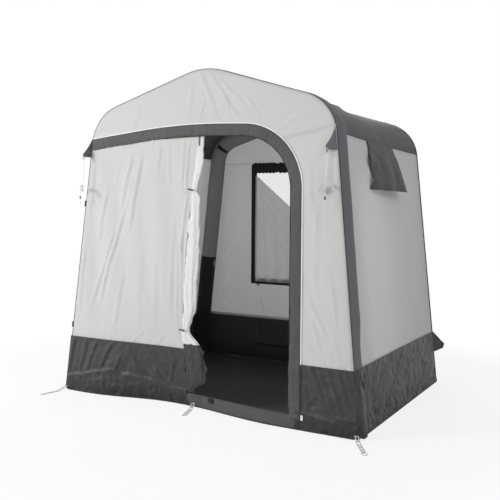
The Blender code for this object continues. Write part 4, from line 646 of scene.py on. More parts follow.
def tube(name, path, radius, finish, nodes=(), body="tent", sides=8, closed=False, squash=None, **options):
    """A round rope, piping or hem along a path. squash flattens it along a direction, to a share."""
    p = np.asarray(path, float)
    ahead = unit(np.roll(p, -1, 0) - np.roll(p, 1, 0)) if closed else unit(np.gradient(p, axis=0))
    up = np.array([0.31, 0.47, 0.83])
    rings = []
    side_way = unit(np.cross(ahead[0], up))
    radius = np.broadcast_to(radius, len(p))
    for k in range(len(p)):
        side_way = unit(side_way - (side_way @ ahead[k]) * ahead[k])
        other = np.cross(ahead[k], side_way)
        angle = np.linspace(0, 2 * np.pi, sides + 1)[:-1]
        ring = (np.cos(angle)[:, None] * side_way + np.sin(angle)[:, None] * other) * radius[k]
        if squash is not None:
            way, share = unit(squash[0]), squash[1]
            ring = ring - (ring @ way)[:, None] * way * (1 - share)
        rings.append(p[k] + ring)
    verts = np.concatenate(rings)
    count, faces = len(p), []
    for k in range(count if closed else count - 1):
        a, b = k * sides, (k + 1) % count * sides
        faces += [[a + i, a + (i + 1) % sides, b + (i + 1) % sides, b + i] for i in range(sides)]
    if not closed:
        faces += [list(range(sides))[::-1], list(range((count - 1) * sides, count * sides))]
    run = np.repeat(np.concatenate([[0], np.cumsum(np.linalg.norm(np.diff(p, axis=0), axis=1))]), sides)
    round_it = np.tile(np.arange(sides) / sides * 2 * np.pi * radius.max(), count)
    return mesh_piece(name, verts, faces, finish, body=body, nodes=nodes, uv=np.stack([run, round_it], -1), **options)


def turned_back(away, reach=0.018, depth=0.006):
    """How far cloth curves back towards an edge that is sewn round a corner."""
    return depth * np.clip(1 - away / reach, 0, 1) ** 2


# The two arched beams, and the cloth sleeves round them
def front_section(count_out=15, count_in=25, inset=0.0, z=1.0):
    share = np.linspace(0, 1, count_out)
    rise = (z - SKIRT) / 0.30
    crown = 0.030 * (0.5 + 0.5 * eased(rise) - 0.82 * eased((z - PANEL_SEAM) / (EAVE - PANEL_SEAM)))
    outer = np.stack([SLEEVE_W * share, crown * (1 - (2 * share - 1) ** 2)], -1)
    half = SLEEVE_W / 2
    angle = np.linspace(0, -np.pi, count_in)
    inner = np.stack([half + half * np.cos(angle), -RIM + half * np.sin(angle)], -1)
    ring = np.concatenate([outer, inner])
    middle = np.array([half, -RIM / 2])
    ring[:, 0] = 0.0035 + ring[:, 0] * (1 - 0.0035 / SLEEVE_W)
    return middle + (ring - middle) * (1 - inset / half)


def rear_section(count=40, inset=0.0, z=1.0):
    angle = np.linspace(0, 2 * np.pi, count + 1)[:-1]
    radius = REAR_R - inset
    return np.stack([REAR_R + GAP + radius * np.cos(angle), -CLOTH - GAP - REAR_R + radius * np.sin(angle)], -1)


def arch_grid(section, s, face, inset=0.0):
    rings = []
    for value in s:
        p, h = ARCH.at(value)
        ring = section(inset=inset, z=p[1])
        z = p[1] - h[0] * ring[:, 1]
        rings.append(vec(p[0] + h[1] * ring[:, 1], face * (half_depth(z) - GAP - ring[:, 0]), z))
    grid = np.stack(rings, 1)
    return np.concatenate([grid, grid[:1]], 0)


def arch_bend(s):
    """1 where the arch bends, 0 where it runs straight."""
    h = ARCH.at(s + 0.02)[1] - ARCH.at(s - 0.02)[1]
    return np.clip(np.linalg.norm(h, axis=-1) / 0.15, 0, 1)


def make_sleeves():
    ends = (0.030, ARCH.length - 0.030)
    for place, section, face, size in (("front", front_section, -1, 0.0125), ("rear", rear_section, 1, 0.016)):
        s = steps(*ends, size)
        grid = arch_grid(section, s, face)
        middle = grid[:-1].mean(0, keepdims=True)
        around = np.linspace(0, 1, len(grid))[:, None]
        bend = arch_bend(s)[None, :]
        pucker = 0.0016 * (0.25 + bend) * np.sin(2 * np.pi * s[None] / 0.034 + 3 * noise(s[None], around, 0.3, 5))
        inner = hump(around, 0.30, 1.0) if face < 0 else 1.0
        bumps = pucker * (0.25 + inner) * (0.5 + 0.5 * noise(s[None] * 1.0, around, 0.22, 6))
        bumps = bumps + 0.0016 * noise(s[None], around * 0.4, 0.09, 8)
        seat = ARCH.at(along_at(0.265))
        outward = np.array([seat[1][1], 0, -seat[1][0]])
        if face < 0:
            y = -half_depth(0.265) + GAP + VALVE_Y
            port = np.array([seat[0][0], y, 0.265]) + outward * 0.015
        else:
            x = seat[0][0] - outward[0] * (CLOTH + GAP + REAR_R)
            port, outward = np.array([x, half_depth(0.265) - GAP, 0.2715]), np.array([0, 1, LEAN_Y])
        # the rear sleeve takes the lighter copy of the sleeve cloth, with painted light
        finish = "sleeve_cloth" if face < 0 else "rear_sleeve_cloth_painted_light"
        cloth(place + "_sleeve", grid, finish, [place + "_beam_sleeve"], grid - middle, bumps, sewn="du",
              hole=disc(port, outward, 0.0084), closed=True, held="stretched")
        bladder = arch_grid(section, s[::4], face, inset=0.0052)[::2]
        verts = bladder[:-1].transpose(1, 0, 2).reshape(-1, 3)
        ring = len(bladder) - 1
        faces = [[k * ring + i, k * ring + (i + 1) % ring, (k + 1) * ring + (i + 1) % ring, (k + 1) * ring + i]
                 for k in range(len(s[::4]) - 1) for i in range(ring)]
        faces += [list(range(ring))[::-1], list(range(len(verts) - ring, len(verts)))]
        uv = np.stack(np.meshgrid(s[::4], np.arange(ring) * 0.02, indexing="ij"), -1).reshape(-1, 2)
        beam = mesh_piece(place + "_bladder", verts, faces, "beam_film", nodes=[place + "_air_beam"], uv=uv)
        for hand in (0, 1):  # the black piping in the sleeve's seams
            column = (0, 14)[hand] if face < 0 else (12, 28)[hand]
            tube(f"{place}_sleeve_piping_{hand}", grid[column] + (grid[column] - middle[0]) * 0.02, 0.0017, "black_cloth", sides=6)


def wall_relief(y, z, seed, amount=1.0):
    """Slack cloth between the beams: wide hollows, a few drawn folds and creases gathered at the seams."""
    flat = 0.0035 * noise(y, z * 0.6, 0.30, seed) + 0.0016 * noise(y + 0.3 * z, z, 0.10, seed + 1)
    low, high = free_cloth(z)
    by_seam = np.exp(-(y - low) / 0.10) + 0.7 * np.exp(-np.maximum(high - y, 0) / 0.08)
    drawn = 0.0022 * by_seam * np.sin(2 * np.pi * (z + 0.35 * (y - low)) / 0.075 + 2.5 * noise(y, z, 0.25, seed + 2))
    foot = 0.0022 * np.exp(-np.maximum(z - SKIRT, 0) / 0.12) * np.sin(2 * np.pi * y / 0.062 + 3 * noise(y, z, 0.2, seed + 3))
    return amount * (flat + drawn + foot)


def make_walls():
    low, high = along_at(SEAM), along_at(ROOF_EDGE) - GAP / 2
    s = steps(low, high, 0.011)
    for hand, place in ((1, "right"), (-1, "left")):
        share = steps(0, 1, 0.009)
        a, b = np.meshgrid(share, s, indexing="ij")
        y = span_y(b, a)
        z = ARCH.at(b)[0][..., 1]
        relief = wall_relief(y, z, 100 if hand > 0 else 140)
        if hand > 0:
            for k, (first, last, width, height) in enumerate((
                ((-0.586, 0.600), (-0.559, 0.348), 0.016, 0.0045), ((-0.374, 0.640), (-0.355, 0.341), 0.020, 0.0040),
                ((0.098, 0.634), (0.532, 0.375), 0.026, 0.0050), ((-0.06, 0.52), (0.36, 0.36), 0.020, 0.0035),
                ((-0.600, 1.560), (-0.100, 1.330), 0.030, 0.0040), ((-0.590, 1.382), (-0.521, 0.900), 0.014, 0.0035),
                ((0.20, 1.30), (0.60, 0.95), 0.030, 0.0035), ((-0.50, 0.95), (-0.30, 0.50), 0.022, 0.0025),
                ((0.30, 0.80), (0.63, 0.62), 0.020, 0.0030))):
                relief = relief + crease(y, z, first, last, width, height, k)
        else:
            for k in range(7):
                x0 = -0.5 + 0.17 * k
                relief = relief + crease(y, z, (x0, 1.45 - 0.1 * (k % 3)), (x0 + 0.12 * (-1) ** k, 0.50), 0.022, 0.004, k)
        over_beam = eased((a - 0.74) / 0.05)
        relief = relief * (1 - over_beam) + (0.0012 + 0.4 * np.abs(relief)) * over_beam
        hole = rectangle(1, -0.200, 0.140, 1.400, 1.530) if hand > 0 else None
        cloth(place + "_side", side(b, y, -CLOTH * 0.3, hand), "side_cloth", [place + "_wall"], (hand, 0, 0), relief,
              hole=hole)
    # the roof, from edge to edge over the arch
    s = steps(along_at(ROOF_EDGE) + GAP / 2, ARCH.length - along_at(ROOF_EDGE) - GAP / 2, 0.013)
    a, b = np.meshgrid(steps(0, 1, 0.0105), s, indexing="ij")
    y = span_y(b, a)
    middle = b - ARCH.length / 2
    relief = 0.004 * noise(middle, y, 0.33, 180) + 0.002 * noise(middle, y, 0.11, 181)
    lo, hi = free_cloth(ARCH.at(b)[0][..., 1])
    near = np.exp(-(y - lo) / 0.13) + np.exp(-np.maximum(hi - y, 0) / 0.10)
    relief += 0.003 * near * np.sin(2 * np.pi * middle / 0.085 + 3 * noise(middle, y, 0.25, 182))
    for k, (first, last) in enumerate((((0.95, -0.60), (0.60, 0.30)), ((0.80, -0.60), (0.30, 0.45)), ((-0.8, -0.55), (-0.4, 0.4)),
                                       ((0.45, -0.55), (0.25, 0.2)), ((-0.35, -0.5), (-0.15, 0.3)), ((1.05, 0.55), (0.75, -0.1)))):
        relief += crease(middle, y, first, last, 0.028, 0.006, 20 + k)
    cloth("roof", side(b, y, -CLOTH * 0.3), "roof_cloth", ["roof_panel"], (0, 0, 1), relief)
    # dark piping down the rear corners and over the back edge
    s = steps(along_at(SKIRT), ARCH.length - along_at(SKIRT), 0.02)
    p, h = ARCH.at(s)
    tube("rear_edge_piping", vec(p[:, 0] + h[:, 1] * 0.001, half_depth(p[:, 1]) + CLOTH * 0.7, p[:, 1] - h[:, 0] * 0.001),
         0.0042, "edge_cloth")
    for hand in (1, -1):
        s = np.full(60, along_at(ROOF_EDGE))
        y = span_y(s, np.linspace(0, 1, 60))
        tube(f"roof_edge_piping_{'right' if hand > 0 else 'left'}", side(s, y, CLOTH * 0.2, hand), 0.0022, "edge_cloth", sides=6)


# The front: gable, left and right panels, their skirts, the hem and the doorway's sill
def seam_slant(x):
    """The seam between the gable and the right panel climbs to the corner."""
    return PANEL_SEAM + 0.20 * (x - 0.610)


def add_creases(x, z, lines, seed=0):
    total = 0
    for k, (a, b, width, height) in enumerate(lines):
        total = total + crease(x, z, a, b, width, height, seed + k)
    return total


LEFT_FOLDS = [
    ((-0.504, 1.497), (-0.591, 1.131), 0.015, 0.0040), ((-0.427, 1.500), (-0.529, 1.010), 0.014, 0.0045),
    ((-0.694, 1.285), (-0.766, 0.940), 0.014, 0.0035), ((-0.550, 1.181), (-0.755, 0.578), 0.013, 0.0055),
    ((-0.625, 1.050), (-0.816, 0.542), 0.013, 0.0050), ((-0.690, 0.760), (-0.735, 0.560), 0.010, 0.0035),
    ((-0.560, 0.780), (-0.625, 0.410), 0.014, 0.0035), ((-0.868, 0.930), (-0.908, 0.455), 0.013, 0.0035),
    ((-0.300, 1.540), (-0.312, 1.380), 0.011, 0.0025), ((-0.230, 1.540), (-0.222, 1.300), 0.012, 0.0030),
    ((-0.317, 0.881), (-0.322, 0.430), 0.022, 0.0030), ((-0.420, 0.900), (-0.450, 0.420), 0.024, 0.0025),
    ((-0.600, 1.470), (-0.630, 1.330), 0.010, 0.0025), ((-0.800, 1.450), (-0.830, 1.100), 0.012, 0.0025),
    ((-0.121, 1.580), (-0.134, 1.280), 0.009, 0.0040), ((-0.088, 1.560), (-0.108, 1.260), 0.008, 0.0045),
    ((-0.098, 1.275), (-0.140, 0.780), 0.011, 0.0050), ((-0.156, 0.990), (-0.149, 0.400), 0.010, 0.0045),
    ((-0.124, 1.021), (-0.124, 0.430), 0.008, 0.0045), ((-0.190, 1.100), (-0.200, 0.520), 0.016, 0.0030),
    ((-0.250, 0.420), (-0.330, 0.345), 0.010, 0.0025), ((-0.400, 0.430), (-0.500, 0.350), 0.011, 0.0025),
    ((-0.640, 0.440), (-0.560, 0.345), 0.010, 0.0020),
]
GABLE_FOLDS = [
    ((-0.029, 1.957), (0.115, 1.664), 0.014, 0.0038), ((0.039, 1.937), (0.261, 1.657), 0.013, 0.0040),
    ((0.107, 1.904), (0.340, 1.681), 0.015, 0.0035), ((0.010, 1.800), (-0.021, 1.675), 0.009, 0.0030),
    ((0.143, 1.817), (0.180, 1.675), 0.010, 0.0030), ((0.273, 1.808), (0.387, 1.664), 0.012, 0.0028),
    ((-0.080, 1.920), (-0.100, 1.700), 0.016, 0.0022), ((0.420, 1.700), (0.612, 1.640), 0.016, 0.0028),
    ((0.470, 1.600), (0.612, 1.693), 0.012, 0.0025), ((-0.450, 1.780), (-0.520, 1.620), 0.020, 0.0020),
    ((0.060, 1.720), (0.070, 1.655), 0.007, 0.0025), ((-0.300, 1.720), (-0.340, 1.630), 0.016, 0.0016),
    ((0.640, 1.680), (0.720, 1.580), 0.012, 0.0022), ((-0.780, 1.620), (-0.600, 1.640), 0.014, 0.0018),
]
RIGHT_FOLDS = [
    ((0.690, 0.720), (0.800, 0.500), 0.013, 0.0045), ((0.707, 0.594), (0.790, 0.400), 0.012, 0.0045),
    ((0.725, 0.900), (0.739, 0.702), 0.016, 0.0025), ((0.813, 0.830), (0.856, 0.560), 0.013, 0.0035),
    ((0.730, 1.200), (0.720, 0.950), 0.018, 0.0025), ((0.800, 1.500), (0.760, 1.250), 0.014, 0.0025),
    ((0.690, 0.470), (0.760, 0.350), 0.010, 0.0030), ((0.840, 0.520), (0.890, 0.360), 0.011, 0.0030),
    ((0.680, 1.420), (0.700, 1.180), 0.013, 0.0020),
]


def make_front():
    face = (0, -1, 0)
    # the gable: columns spaced evenly round the arch, rows from the zip up to it
    low = along_at(1.590)
    s = np.linspace(ARCH.length - low, low, 250)
    x0 = ARCH.at(s)[0][:, 0]
    cross = post_x(PANEL_SEAM, ZIP_W / 2 + GAP)
    foot = np.where(x0 < cross, over_door(np.minimum(x0, cross), ZIP_W / 2 + GAP), seam_slant(x0)) + GAP
    foot = np.where((x0 > cross - 0.10) & (x0 < cross), np.maximum(foot, seam_slant(x0)), foot)
    top = ARCH.at(s)[0][:, 1]
    x, climb = np.meshgrid(x0, np.linspace(0, 1, 52), indexing="ij")
    z = foot[:, None] + (np.maximum(top, foot + 0.004) - foot)[:, None] * climb
    away = np.hypot(1, 0) * (top[:, None] - z) * np.abs(ARCH.at(s)[1][:, 0])[:, None]
    relief = add_creases(x, z, GABLE_FOLDS, 10) + 0.0022 * noise(x, z, 0.24, 30) + 0.0008 * noise(x, z, 0.07, 31)
    cloth("gable", front(x, z, CLOTH * 0.8 - turned_back(away)), "light_cloth", ["front_gable_panel"], face, relief,
          fade=0.016)
    # the left panel
    share, climb = np.meshgrid(steps(0, 1, 0.0092), np.linspace(0, 1, 160), indexing="ij")
    near = -edge_x(ZIP_LEFT) * (1 - share) + seam_x(1.637) * share
    top = over_door(near, -ZIP_W / 2 - GAP) - GAP
    z = SEAM + (top - SEAM) * climb
    x = -edge_x(z) * (1 - share) + (seam_x(z) + 0.010) * share
    relief = add_creases(x, z, LEFT_FOLDS, 50) + 0.0035 * noise(x * 1.3 + 0.2 * z, z * 0.4, 0.16, 32)
    relief += 0.0007 * noise(x, z, 0.045, 33)
    under = np.clip((top - 0.030 - z) / 0.16, 0, 1)
    gather = (1 - under) ** 2 * np.sin(2 * np.pi * x / 0.027 + 3.0 * noise(x, z * 0.3, 0.09, 34))
    relief += 0.0019 * gather * (0.5 + 0.5 * noise(x, 0, 0.15, 35))
    low = np.clip((z - SKIRT) / 0.10, 0, 1)
    relief += 0.0012 * (1 - low) ** 2 * np.sin(2 * np.pi * x / 0.041 + 3 * noise(x, z, 0.12, 36))
    relief += 0.0030 * np.sin(31 * x + 4 * (z - top)) * eased((z - SKIRT) / 0.5) * eased((top - z) / 0.25)
    cloth("left_panel", front(x, z, CLOTH * 0.8 - turned_back(x + edge_x(z))), "light_cloth", ["front_left_panel"], face,
          relief, sewn="ldu", fade=0.026)
    # the right panel
    share, climb = np.meshgrid(steps(0, 1, 0.025), np.linspace(0, 1, 170), indexing="ij")
    near = post_x(1.56, ZIP_W / 2 + GAP) * (1 - share) + edge_x(PANEL_SEAM) * share
    z = SEAM + (seam_slant(near) - GAP - SEAM) * climb
    x = post_x(z, ZIP_W / 2 + GAP) * (1 - share) + edge_x(z) * share
    relief = add_creases(x, z, RIGHT_FOLDS, 80) + 0.0022 * noise(x, z * 0.5, 0.12, 37) + 0.0006 * noise(x, z, 0.04, 38)
    relief += 0.0012 * np.clip(1 - (z - SKIRT) / 0.12, 0, 1) ** 2 * np.sin(2 * np.pi * x / 0.035 + z * 9)
    cloth("right_panel", front(x, z, CLOTH * 0.8 - turned_back(edge_x(z) - x)), "light_cloth", ["front_right_panel"], face,
          relief, fade=0.026)


def left_skirt_x(share, z):
    return (-half_width(z) - LIP) * (1 - share) + (seam_x(z) + 0.010 * eased((z - SILL) / 0.03)) * share


def right_skirt_x(share, z):
    return (door_x(z) + ZIP_W / 2 + GAP) * (1 - share) + (half_width(z) + LIP) * share


SKIRT_FOLDS = [
    ((-0.936, 0.345), (-0.974, 0.110), 0.012, 0.0060), ((-0.831, 0.340), (-0.889, 0.125), 0.012, 0.0065),
    ((-0.748, 0.345), (-0.830, 0.135), 0.011, 0.0060), ((-0.627, 0.345), (-0.743, 0.145), 0.012, 0.0060),
    ((-0.520, 0.340), (-0.440, 0.175), 0.011, 0.0050), ((-0.400, 0.340), (-0.215, 0.150), 0.011, 0.0050),
    ((-0.270, 0.320), (-0.150, 0.190), 0.009, 0.0050), ((-0.480, 0.250), (-0.380, 0.150), 0.008, 0.0050),
    ((-0.330, 0.230), (-0.280, 0.130), 0.008, 0.0050), ((-0.560, 0.270), (-0.620, 0.150), 0.010, 0.0050),
    ((-0.180, 0.280), (-0.230, 0.110), 0.010, 0.0050), ((-0.350, 0.330), (-0.300, 0.250), 0.008, 0.0040),
    ((0.715, 0.345), (0.812, 0.150), 0.011, 0.0070), ((0.758, 0.352), (0.862, 0.125), 0.010, 0.0070),
    ((0.816, 0.345), (0.905, 0.115), 0.010, 0.0070), ((0.871, 0.345), (0.950, 0.135), 0.010, 0.0065),
    ((0.918, 0.345), (0.968, 0.190), 0.008, 0.0050), ((0.690, 0.250), (0.720, 0.100), 0.010, 0.0040),
    ((0.700, 0.090), (0.930, 0.060), 0.010, 0.0050),
]
ROLL = [(-1.0, 0.085), (-0.93, 0.098), (-0.642, 0.160), (-0.388, 0.134), (-0.147, 0.091), (-0.10, 0.09)]


def skirt_fold(x, z):
    """The skirts' slanting creases over a slack roll near the hem, as the CAD has them."""
    left = hump(x, -half_width(z) + 2 * LAP, -0.240)
    middle = hump(x, -0.540, seam_x(z) - LAP / 2)
    right_part = hump(x, DOOR_X + COVER_W, half_width(z) - 2 * LAP)
    slant = 1 + np.sin(38 * x - 30 * z) * 0.7 + np.sin(61 * x + 17 * z + 1.0) * 0.3
    creases = 0.006 * slant * hump(z, 0.1 * SEAM, SEAM) + 0.012 * hump(z, 0.0, 0.36 * SEAM)
    return np.maximum(np.maximum(left, middle), right_part) * creases * ((z > 0) & (z < SEAM))


def skirt_relief(x, z, seed):
    """Creases drawn from the seam, and crushed cloth over the slack roll above the hem."""
    total = 0.75 * skirt_fold(x, z) + add_creases(x, z, SKIRT_FOLDS, seed)
    height = np.interp(x, [p[0] for p in ROLL], [p[1] for p in ROLL])
    on = np.where(x < 0, 1.0, 0.5)
    ridge = (z - height + 0.010 * noise(x, 0, 0.06, seed + 60)) / 0.012
    total = total + on * 0.0065 * (np.exp(-ridge * ridge) - 0.4 * np.exp(-((ridge - 1.6) ** 2)))
    crushed = eased((height + 0.03 - z) / 0.05) * eased(z / 0.02)
    total = total + on * 0.0060 * crushed * (crumple(x, z, 0.055, seed + 61) - 0.5)
    total = total + 0.0036 * (crumple(x * 1.2 - 0.5 * z, z * 0.7, 0.085, seed + 62) - 0.5) * eased(z / 0.03)
    return total + 0.0015 * noise(x, z, 0.022, seed + 63)


def corner_lift(away, height=0.024, reach=0.034):
    """The hem curls up a little at each outer corner."""
    return height * np.clip(1 - away / reach, 0, 1) ** 2


def make_skirts():
    face = (0, -1, 0)
    base = LIP + CLOTH * 0.7 + 0.0014
    for place, way in (("left", left_skirt_x), ("right", right_skirt_x)):
        size = 0.0085 if place == "left" else 0.020
        share, climb = np.meshgrid(steps(0, 1, size), np.linspace(0, 1, 50), indexing="ij")
        away = (way(share, 0) - way(0, 0)) if place == "left" else (way(1, 0) - way(share, 0))
        z0 = corner_lift(away)
        z = z0 + (SKIRT - z0) * climb
        x = way(share, z)
        relief = skirt_relief(x, z, 200)
        cloth(place + "_front_skirt", front(x, z, base), "skirt_cloth", [f"front_{place}_skirt"], face, relief,
              sewn="lu" if place == "left" else "ru", fade=0.012, held="hung")
        hem = front(way(share[:, 0], z[:, 0]), z[:, 0] + 0.0035, base + 0.001 + skirt_relief(x, z, 200)[:, 0])
        tube(place + "_front_hem", hem, 0.0036, "edge_cloth", sides=6)
    make_side_skirts()
    make_sill()


def make_side_skirts():
    for hand, place in ((1, "right"), (-1, "left")):
        s_marks = np.linspace(0, 1, 54)
        kinds = [("lip", np.array([-1.0, -0.5])), ("sleeve", np.linspace(0, 1, 19)[:-1]), ("span", np.linspace(0, 1, 168)),
                 ("lip", np.array([1.0]))]
        columns = []
        for kind, values in kinds:
            for share in values:
                away = 0.0 if kind == "lip" else (SLEEVE_W * share if kind == "sleeve" else SLEEVE_W + 1.38 * share)
                ends = min(away + 0.003, 1.52 - away + 0.003)
                z0 = corner_lift(ends)
                z = z0 + (SKIRT - z0) * s_marks
                s = along_at(z)
                depth = half_depth(z)
                bulge = 0.0
                if kind == "lip":
                    y = np.sign(share) * depth + (share * CLOTH if abs(share) == 1 else 0.0)
                elif kind == "sleeve":
                    y = -depth + GAP + SLEEVE_W * share
                    bulge = 0.0175 * (1 - (2 * share - 1) ** 2)
                else:
                    y = span_y(s, share)
                columns.append(side(s, y, GAP + CLOTH * 0.8 + bulge, hand))
        grid = np.stack(columns)
        y, z = grid[..., 1], grid[..., 2]
        lo, _ = free_cloth(z)
        waves = 0.0050 * hump(z, 0, SEAM) * hump(y, lo, half_depth(z)) * (1 + np.sin(17 * y + 22 * z)) * 0.5
        lines = [((-0.603, 0.345), (-0.673, 0.040), 0.012, 0.006), ((-0.175, 0.345), (-0.631, 0.050), 0.013, 0.007),
                 ((0.118, 0.345), (-0.345, 0.035), 0.015, 0.007), ((0.763, 0.320), (0.138, 0.020), 0.018, 0.007),
                 ((-0.420, 0.345), (-0.560, 0.140), 0.010, 0.005), ((0.420, 0.345), (0.000, 0.120), 0.014, 0.006),
                 ((-0.300, 0.200), (-0.500, 0.030), 0.009, 0.005), ((0.600, 0.200), (0.350, 0.030), 0.012, 0.005)]
        ways = y if hand > 0 else -0.1 - y
        relief = waves + add_creases(ways, z, lines, 300) + 0.0042 * (crumple(ways, z, 0.075, 310 + hand) - 0.5) * eased(z / 0.03)
        crushed = eased((0.13 - z) / 0.06) * eased(z / 0.02)
        relief += 0.0045 * crushed * (crumple(ways, z, 0.05, 320 + hand) - 0.5) + 0.0014 * noise(ways, z, 0.022, 330)
        hole = slit_hole() if hand > 0 else None
        cloth(place + "_skirt_cloth", grid, "skirt_cloth", [place + "_skirt"], (hand, 0, 0), relief, sewn="lru", hole=hole,
              fade=0.012, held="hung")
        bottom = grid[:, 0] + np.array([0, 0, 0.0035])
        tube(place + "_side_hem", bottom, 0.0034, "edge_cloth", sides=6)


def slit_frame():
    p, h = ARCH.at(along_at(0.265))
    outward = np.array([h[1], 0, -h[0]])
    seat = np.array([p[0], -half_depth(0.265) + GAP + VALVE_Y, 0.265]) + outward * 0.021
    along = unit(np.array([0, 0.53, -0.85]))
    return seat, outward, along, unit(np.cross(along, outward))


def slit_hole():
    """The pointed slit through which the front valve is reached."""
    seat, outward, along, across = slit_frame()

    def half(run):
        return 0.0075 * np.sqrt(np.clip(1 - (run / 0.074) ** 2, 0, 1)) + 0.0004

    def inside(p):
        d = p - seat
        run, off = d @ along, d @ across
        return (np.abs(run) < 0.074) & (np.abs(off) < half(run)) & (np.abs(d @ outward) < 0.05)

    def snap(p):
        d = p - seat
        run, off = d @ along, d @ across
        return p + ((np.sign(off) * half(run) - off)[:, None]) * across

    return inside, snap


def sill_x(mark, z):
    return (seam_x(z) + GAP) * (1 - mark) + (right_skirt_x(0, z) - GAP) * mark


def make_sill():
    mark, climb = np.meshgrid(steps(0, 1, 0.009), np.linspace(0, 1, 16), indexing="ij")
    z = SILL * climb
    x = sill_x(mark, z)
    relief = 0.0022 * np.sin(2 * np.pi * x / 0.19 + 4 * noise(x, z, 0.2, 401)) * climb + 0.0016 * (crumple(x, z, 0.06, 402) - 0.5)
    points = front(x, z, LIP + CLOTH * 0.5)
    cloth("sill", points, "sill_cloth_painted_light", ["door_sill"], (0, -1, 0), relief, sewn="du", fade=0.006, held="hung", thick=0.0012)
    tube("sill_hem", points[:, 0] + np.array([0, -0.0015, 0.003]), 0.0034, "edge_cloth", sides=6)
    tube("sill_top", points[:, -1] + relief[:, -1:] * np.array([0, -0.3, 0]), 0.0022, "edge_cloth", sides=6)
    # the hook-and-loop patch that holds the door's foot
    lo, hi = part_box("sill_patch")
    u, v = np.meshgrid(np.linspace(0, 1, 14), np.linspace(0, 1, 12), indexing="ij")
    x, z = lo.x + (hi.x - lo.x) * u, lo.z + (hi.z - lo.z) * v
    patch = front(x, z, 2 * LIP + 0.0011 + 0.0004 * noise(x, z, 0.004, 410))
    cloth("sill_patch_cloth", patch, "black_cloth", ["sill_patch"], (0, -1, 0), sewn="lrdu", thick=0.001, held="laid",
          rests=["sill"])
    # the groundsheet, with the flat creases of its packing
    x, y = np.meshgrid(np.linspace(-1, 1, 110), np.linspace(0, 1, 84), indexing="ij")
    x = x * (1 - GAP)
    front_y = -half_depth(0) + hem_slack(x, 0) + 0.001
    y = front_y + (half_depth(0) - GAP - front_y) * y
    raised = 0.0012 + 0.0026 * crumple(x, y, 0.24, 420) * hump(y, -0.80, 0.80) ** 0.3 + 0.0008 * noise(x, y, 0.06, 425)
    points = vec(x, y, np.clip(raised, 0.0004, 0.006))
    cloth("floor_sheet", points, "floor_cloth", ["groundsheet"], (0, 0, 1), sewn="lrdu", held="laid")


# The zip round the door, the cover flap over it, and the rolled door beside it
def door_edge(s, w, out, gather=0.0):
    """Points beside the zip's line: s along it, w sideways and out in front."""
    p, h = ZIP.at(s)
    q = p + np.stack([-h[..., 1], h[..., 0]], -1) * np.asarray(w)[..., None]
    return front(q[..., 0], q[..., 1], out), q


def cover_lift(q):
    lift = 0.0059 * eased((q[..., 0] + 0.40) / 0.25) * eased((0.52 - q[..., 0]) / 0.20)
    return np.where(q[..., 1] < PANEL_SEAM, 0.0, lift)


def make_zip():
    s = steps(0.0, ZIP.length, 0.008)
    coil = np.linspace(0.004, ZIP.length - 0.004, 1500)
    path, _ = door_edge(coil, np.zeros_like(coil), CLOTH * 0.45)
    tube("zip_coil", path, 0.0013 + 0.0004 * np.sin(coil * 2 * np.pi / 0.006), "black_plastic", sides=6)
    a, w = np.meshgrid(s, np.linspace(-ZIP_W / 2, ZIP_W / 2, 5), indexing="ij")
    tape, _ = door_edge(a, w, CLOTH * 0.25)
    cloth("zip_tape", tape, "black_cloth", ["door_zip_chain"], (0, -1, 0), sewn="lr", held="stretched")
    s = steps(0.0, ZIP.length, 0.0085)
    a, share = np.meshgrid(s, np.linspace(-1, 1, 15), indexing="ij")
    _, q = door_edge(a, share * 0, 0)
    layers = 1 + eased((SKIRT + 0.03 - q[..., 1]) / 0.05)
    out = layers * LIP + cover_lift(q) * (1 - 0.5 * eased((share - 0.3) / 0.7)) + 0.0008 + 0.0034 * (1 - share**4)
    heading = ZIP.at(a + 0.02)[1] - ZIP.at(a - 0.02)[1]
    bend = np.clip(np.linalg.norm(heading, axis=-1) / 0.10, 0, 1)
    flat_w = share * COVER_W / 2
    pucker = np.sin(2 * np.pi * a / 0.031 + 2.5 * noise(a, flat_w, 0.12, 501)) * (0.35 + bend) * (0.55 - 0.45 * share)
    relief = 0.0011 * pucker + 0.0024 * (crumple(a, flat_w * 1.4, 0.055, 502) - 0.5) + 0.0012 * noise(a, flat_w, 0.030, 503)
    low = eased((0.9 - q[..., 1]) / 0.5) * (q[..., 0] > 0.4)
    relief = relief + 0.0030 * low * (crumple(a, flat_w, 0.040, 504) - 0.4)
    grid, q = door_edge(a, flat_w, out)
    cloth("zip_cover", grid, "cover_cloth", ["door_zip_cover"], (0, -1, 0), relief, sewn="u", fade=0.010, held="laid",
          thick=0.0010, rests=["left_panel", "right_panel", "gable"])
    # piping along its sewn edge, painted near white as a highlight, and a black binding along its free one
    trim = np.linspace(0.006, ZIP.length - 0.02, 420)
    _, q = door_edge(trim, trim * 0, 0)
    layers = 1 + eased((SKIRT + 0.03 - q[..., 1]) / 0.05)
    edge, _ = door_edge(trim, trim * 0 + COVER_W / 2 + 0.0018, layers * LIP + 0.0022)
    keep = edge[:, 2] > SKIRT - 0.004
    tube("cover_piping", edge[keep], 0.0030, "piping_cloth_painted_highlight")
    tube("cover_piping_foot", edge[~keep], 0.0020, "edge_cloth", sides=6)
    bind, _ = door_edge(trim, trim * 0 - COVER_W / 2 + 0.0006, layers * LIP + cover_lift(q) + 0.0016)
    tube("cover_binding", bind[trim > 0.55], 0.0019, "black_cloth", sides=6)


def table(rows, z):
    """A value read from a short list of (height, value), eased between its heights."""
    out = np.full(np.shape(z), rows[-1][1], float)
    for (lo, a), (hi, b) in reversed(list(zip(rows, rows[1:]))):
        out = np.where(z <= hi, a + (b - a) * eased((z - lo) / (hi - lo)), out)
    return out


